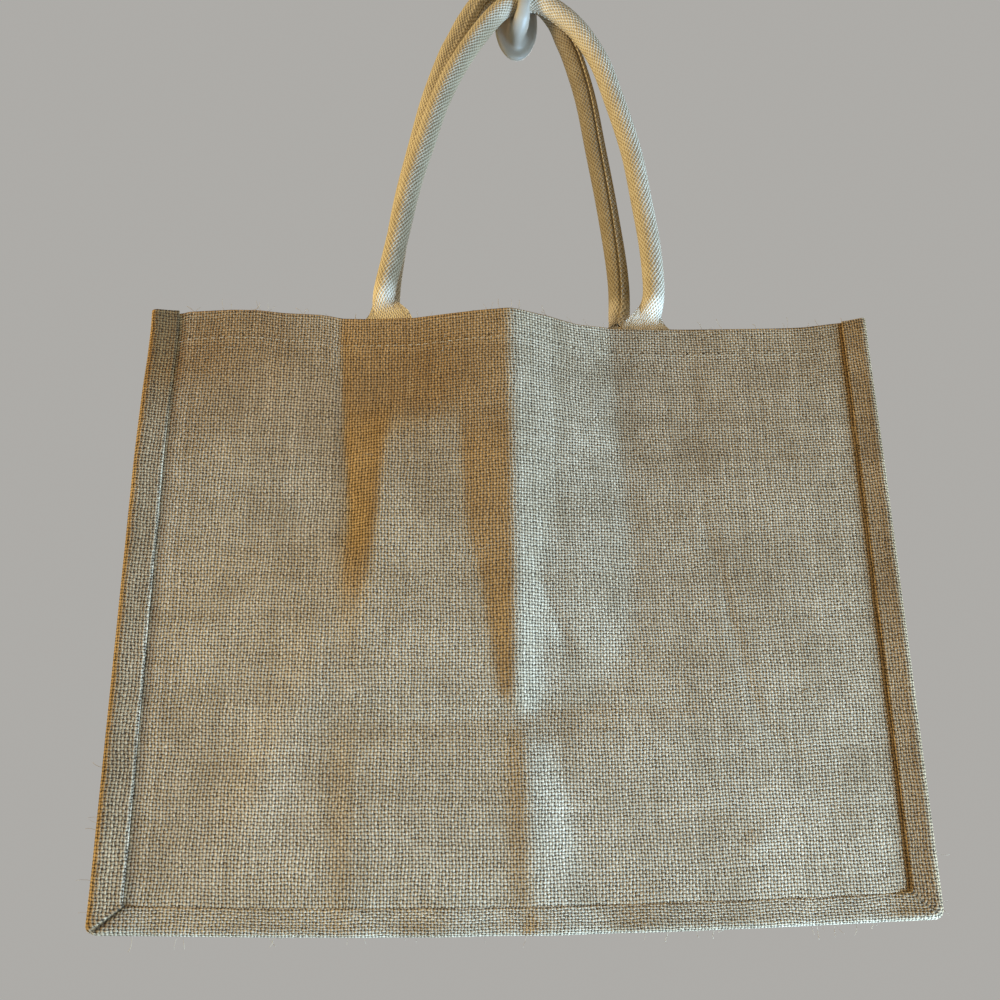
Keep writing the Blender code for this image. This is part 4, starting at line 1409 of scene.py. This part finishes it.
def webbing_roll(name, route_mm, depth_at, inward, seam_turns, opens, soiled, browned):
    """opens: how far up each side of the roll opens. The last two: painted shade of the left leg's inner
    side, and of the right leg.
    """
    centres = handle_centres(route_mm)
    frames = handle_frames(centres, inward)
    shares = np.linspace(0, 1, ROLL_SPOTS)
    rows = []
    soil = []
    for i, (centre, (side, seam)) in enumerate(zip(centres, frames)):
        below = BAG_TOP_Z - centre[2]
        flat = float(ease((below + FLARE_HEIGHT) / FLARE_HEIGHT))
        turn = float(np.interp(i / (len(centres) - 1), SEAM_TURN_PLACES, seam_turns)) * (1 - flat)
        flat_half = blend(FLARE_HALF_WIDTH, TAIL_HALF_WIDTH, float(ease(below / FLARE_DEPTH)))
        # Rolled: the angle goes once round from the seam and on by the lap, which lies on the layer below.
        angle = np.radians(turn + shares * (360 + LAP) - LAP / 2)
        over = ease((shares * (360 + LAP) - 360 + LAP_STEP / 2) / LAP_STEP)
        radius = CORD_RADIUS - WEBBING / 2 + LAP_RISE * over
        rolled_side = radius * np.sin(angle)
        rolled_out = radius * np.cos(angle)
        # Flat: the width runs from side to side. The side towards the bag's middle opens higher up.
        towards_middle = -math.copysign(1, centre[0]) * np.sign(1 - 2 * shares) * math.copysign(1, side[0])
        reach = np.where(towards_middle > 0, opens[0], opens[1])
        opened = np.clip(1 + below / reach, 0, 1)
        # While it opens, the layer behind stays hidden by the one in front.
        hidden = 1 - 0.5 * (rolled_out > 0) * opened * (1 - opened)
        side_length = blend(rolled_side, (1 - 2 * shares) * flat_half, opened) * hidden
        out_length = rolled_out * (1 - np.maximum(flat, ease(1.3 * opened) * (rolled_out > 0)))
        points = np.array(centre) + np.outer(side_length, side) + np.outer(out_length, seam)
        lying = depth_at(points[:, 0] - BAG_MIDDLE_X, np.full(len(shares), below)) + inward * TAIL_OFFSET
        points[:, 1] = blend(points[:, 1], lying, flat)
        rows.append(points)
        inner_side = ease(np.sin(angle) * side[0] + 0.25) * float(ease(-centre[0] / LEG_START)) * (1 - flat)
        soil.append(soiled * inner_side + browned * float(ease(centre[0] / LEG_START)))
    points = np.stack(rows)
    length = flat_lengths(points, 0)[:, len(shares) // 2]
    width = shares * (2 * math.pi * CORD_RADIUS * (360 + LAP) / 360)
    sheet = lay_grid(name, points, width + 0 * length[:, None], length[:, None] + 0 * width)
    # The ends are painted with light, the lip's edge with a pale highlight, and a painted shadow runs under
    # the lip.
    end_clean = ease((CLEAN_END[0] - np.minimum(length, length[-1] - length)) / CLEAN_END[1])
    lip = LIP_EDGE[2] * ease((shares - LIP_EDGE[0]) / LIP_EDGE[1])
    lip = lip + LIP_SLIT[2] * np.exp(-(((shares - LIP_SLIT[0]) / LIP_SLIT[1]) ** 2))
    soil = np.array(soil) * (1 - end_clean)[:, None]
    paint_wear(sheet, np.clip(np.add.outer(CLEAN_END[2] * end_clean, lip) - soil, -2, 1))
    edit_all(sheet, bpy.ops.mesh.normals_make_consistent, inside=False)
    thicken(sheet, WEBBING, 0)
    print(name, len(sheet.data.polygons), "faces,", round(length[-1], 3), "m long")
    return sheet


handle_front_webbing = webbing_roll(
    "handle_front_webbing", FRONT_HANDLE_ROUTE, front_y, 1,
    seam_turns=(0, 10, 10, 10, 0), opens=(0.037, 0.020), soiled=0.95, browned=0.0,
)
handle_back_webbing = webbing_roll(
    "handle_back_webbing", BACK_HANDLE_ROUTE, back_y, -1,
    seam_turns=(0, 25, 45, -45, -20), opens=(0.012, 0.008), soiled=0.2, browned=0.75,
)

# %% [markdown]
# ## Wall hook
#
# The hook is one smooth moulding: an oval plate, and a prong that leaves it low down, sweeps forward and
# turns up. The plate is a short cylinder stretched to an oval, and the prong is a row of rings bridged
# into a tube. A boolean joins them. A voxel remesh and some smoothing then melt the joint into a fillet,
# as a mould would give it.

# %% Hook plate
PLATE_HALF_WIDTH = 0.0152
PLATE_HALF_STRAIGHT = 0.010
PLATE_END = 0.0305
PLATE_THICKNESS = 0.0045
PLATE_ROUNDING = 0.0018


def hook_plate():
    bpy.ops.object.select_all(action="DESELECT")
    bpy.ops.mesh.primitive_cylinder_add(
        vertices=64, radius=PLATE_HALF_WIDTH, depth=PLATE_THICKNESS,
        location=(0, -PLATE_THICKNESS / 2, 0), rotation=(math.pi / 2, 0, 0),
    )
    plate = bpy.context.object
    plate.name = "wall_hook_moulding"
    bpy.ops.object.transform_apply(location=True, rotation=True, scale=True)
    bpy.ops.object.mode_set(mode="EDIT")
    bpy.ops.mesh.select_all(action="SELECT")
    bpy.ops.transform.resize(value=(1, 1, PLATE_END / PLATE_HALF_WIDTH), center_override=(0, 0, 0))
    for end in (1, -1):
        select_vertices(plate, lambda vertex: end * vertex.co.z > 0.0001)
        bpy.ops.transform.translate(value=(0, 0, end * PLATE_HALF_STRAIGHT))
    select_vertices(plate, lambda vertex: vertex.co.y < -PLATE_THICKNESS + 0.0001)
    bpy.ops.mesh.bevel(offset=PLATE_ROUNDING, segments=4, affect="EDGES")
    bpy.ops.object.mode_set(mode="OBJECT")
    print("plate", len(plate.data.polygons), "faces")
    return plate


hook = hook_plate()

# %% Hook prong
PRONG_RING_SPOTS = 28
PRONG = (
    # outer y, outer z, inner y, inner z, outer half width, inner half width, lean to the right (mm)
    (-1.5, -34.0, -1.5, 3.0, 7.0, 4.2, 0.4),
    (-6.0, -34.0, -6.0, 1.0, 6.8, 4.4, 0.4),
    (-10.0, -33.9, -11.2, -0.4, 6.8, 4.6, 0.5),
    (-13.6, -33.4, -13.6, -3.8, 6.9, 4.6, 0.7),
    (-17.0, -32.6, -14.2, -11.5, 7.0, 4.6, 1.0),
    (-21.0, -30.6, -17.2, -19.0, 7.0, 5.0, 1.5),
    (-27.0, -26.8, -23.0, -19.2, 6.4, 5.2, 2.4),
    (-32.3, -20.5, -28.7, -16.8, 5.0, 4.6, 3.4),
    (-35.1, -11.5, -31.0, -10.6, 4.3, 4.0, 4.0),
    (-36.3, -1.5, -31.6, -1.5, 4.1, 3.8, 4.2),
    (-36.8, 6.5, -32.0, 7.0, 4.1, 3.8, 4.2),
    (-36.4, 10.6, -32.8, 11.0, 3.5, 3.2, 4.2),
    (-35.4, 12.2, -33.8, 12.4, 1.9, 1.7, 4.2),
)


def prong_ring(outer_y, outer_z, inner_y, inner_z, outer_half, inner_half, lean):
    middle = 0.0005 * Vector((2 * lean, outer_y + inner_y, outer_z + inner_z))
    long = 0.001 * Vector((0, inner_y - outer_y, inner_z - outer_z))
    inwards = long.normalized()
    bpy.ops.mesh.primitive_circle_add(
        vertices=PRONG_RING_SPOTS, radius=1, location=middle, rotation=(math.atan2(long.z, long.y), 0, 0),
    )
    ring = bpy.context.object
    ring.scale = (0.0005 * (outer_half + inner_half), long.length / 2, 1)
    bpy.ops.object.transform_apply(location=True, rotation=True, scale=True)
    # The outer side is wider or narrower than the inner one.
    bpy.ops.object.mode_set(mode="EDIT")
    for side, half in ((-1, outer_half), (1, inner_half)):
        select_vertices(ring, lambda vertex: side * (vertex.co - middle).dot(inwards) > 0.15 * long.length)
        wider = 2 * half / (outer_half + inner_half)
        bpy.ops.transform.resize(value=(wider, 1, 1), center_override=middle)
    bpy.ops.object.mode_set(mode="OBJECT")
    return ring


def hook_prong():
    bpy.ops.object.select_all(action="DESELECT")
    prong = join_pieces([prong_ring(*section) for section in PRONG], "prong")
    bpy.ops.object.mode_set(mode="EDIT")
    last = (len(PRONG) - 1) * PRONG_RING_SPOTS
    for first in range(0, last, PRONG_RING_SPOTS):
        select_vertices(prong, lambda vertex: first <= vertex.index < first + 2 * PRONG_RING_SPOTS)
        bpy.ops.mesh.bridge_edge_loops()
    for first in (0, last):
        select_vertices(prong, lambda vertex: first <= vertex.index < first + PRONG_RING_SPOTS)
        bpy.ops.mesh.edge_face_add()
    bpy.ops.mesh.select_all(action="SELECT")
    bpy.ops.mesh.normals_make_consistent(inside=False)
    bpy.ops.object.mode_set(mode="OBJECT")
    print("prong", len(prong.data.polygons), "faces")
    return prong


prong = hook_prong()

# %% Hook joined and smoothed
HOOK_VOXEL = 0.0005
# The prong's foot is smoothed more: its half width, its lowest and highest place, and how softly that ends
FOOT_HALF_WIDTH = 0.0095
FOOT_HEIGHTS = (-0.0375, -0.020)
FOOT_FADE = 0.004

use_modifier(hook, "BOOLEAN", operation="UNION", solver="EXACT", object=prong)
bpy.data.objects.remove(prong)
use_modifier(hook, "REMESH", mode="VOXEL", voxel_size=HOOK_VOXEL, use_smooth_shade=True)
use_modifier(hook, "SMOOTH", factor=0.5, iterations=26)
foot = hook.vertex_groups.new(name="foot")
for vertex in hook.data.vertices:
    x, y, z = vertex.co
    away = max(abs(x) - FOOT_HALF_WIDTH, FOOT_HEIGHTS[0] - z, z - FOOT_HEIGHTS[1], 0.0)
    foot.add([vertex.index], max(0.0, 1 - away / FOOT_FADE) * (y < -0.003), "REPLACE")
use_modifier(hook, "SMOOTH", factor=0.5, iterations=120, vertex_group="foot")
hook.vertex_groups.clear()
only(hook)
bpy.ops.object.shade_smooth()
print("hook", len(hook.data.polygons), "faces, box", [round(value, 4) for value in hook.dimensions])

# %% [markdown]
# ## Moulded plastic
#
# The plastic is off-white and half glossy. It has faint flow marks from the mould, fine scratches where
# the handles are hung and taken off, and dust that dulls the parts that face up.

# %% Hook material
HOOK_WHITE = (0.44, 0.395, 0.325, 1)
HOOK_WARM = (0.39, 0.345, 0.28, 1)
HOOK_SCRATCH = (0.31, 0.29, 0.26, 1)
HOOK_DUST = (0.35, 0.31, 0.25, 1)


def make_plastic(name):
    made, wires, shader = start_material(name, 0.4)
    place = wires.put("ShaderNodeTexCoord").outputs["Object"]
    flow = wires.noise(place, 70.0, 4.0, 0.6, "3D")
    grain = wires.noise(place, 900.0, 2.0, 0.5, "3D")
    stretched = wires.put("ShaderNodeMapping", {"Vector": place, "Scale": (1.0, 0.12, 0.12)}).outputs[0]
    scratches = wires.smooth(wires.noise(stretched, 2600.0, 2.0, 0.7, "3D"), 0.60, 0.72)
    normal = wires.put("ShaderNodeNewGeometry").outputs["Normal"]
    upward = wires.put("ShaderNodeSeparateXYZ", {"Vector": normal}).outputs["Z"]
    dust = wires.times(wires.smooth(upward, 0.1, 0.9), wires.smooth(flow, 0.35, 0.7))
    colour = wires.colour(wires.smooth(flow, 0.3, 0.75), HOOK_WHITE, HOOK_WARM)
    colour = wires.colour(wires.times(scratches, 0.35), colour, HOOK_SCRATCH)
    colour = wires.colour(wires.times(dust, 0.5), colour, HOOK_DUST)
    rough = wires.scaled(dust, 0.35, wires.scaled(flow, 0.14, 0.36))
    wires.join(wires.scaled(scratches, 0.12, rough), shader.inputs["Roughness"])
    relief = wires.scaled(scratches, -0.6, wires.scaled(grain, 0.25, flow))
    finish_material(wires, shader, colour, relief, 0.00012, 0.6)
    return made


plastic = make_plastic("hook_white")
print("plastic:", len(plastic.node_tree.nodes), "nodes")

# %% [markdown]
# ## Materials and bodies
#
# Last, each piece gets its material and is hung on the root body, and the CAD node that it stands for is
# hidden.

# %% Materials and bodies
PIECES = (
    # piece, material, slot, node that it replaces
    (front_cloth, burlap_panel, "burlap", "front_panel"),
    (back_cloth, burlap_panel, "burlap", "back_panel"),
    (gusset_cloth, burlap_strip, "burlap", "gusset"),
    (front_stitches, jute_thread, "burlap", None),
    (back_stitches, jute_thread, "burlap", None),
    (fibres, jute_thread, "burlap", None),
    (handle_front_webbing, cotton, "cotton_webbing", "handle_front"),
    (handle_back_webbing, cotton, "cotton_webbing", "handle_back"),
    (hook, plastic, "hook_white", "wall_hook"),
)
for piece, look, slot, node in PIECES:
    piece.data.materials.clear()
    piece.data.materials.append(look)
    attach(piece, "root")
    if node:
        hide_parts(node)
print(len(PIECES), "pieces declared")
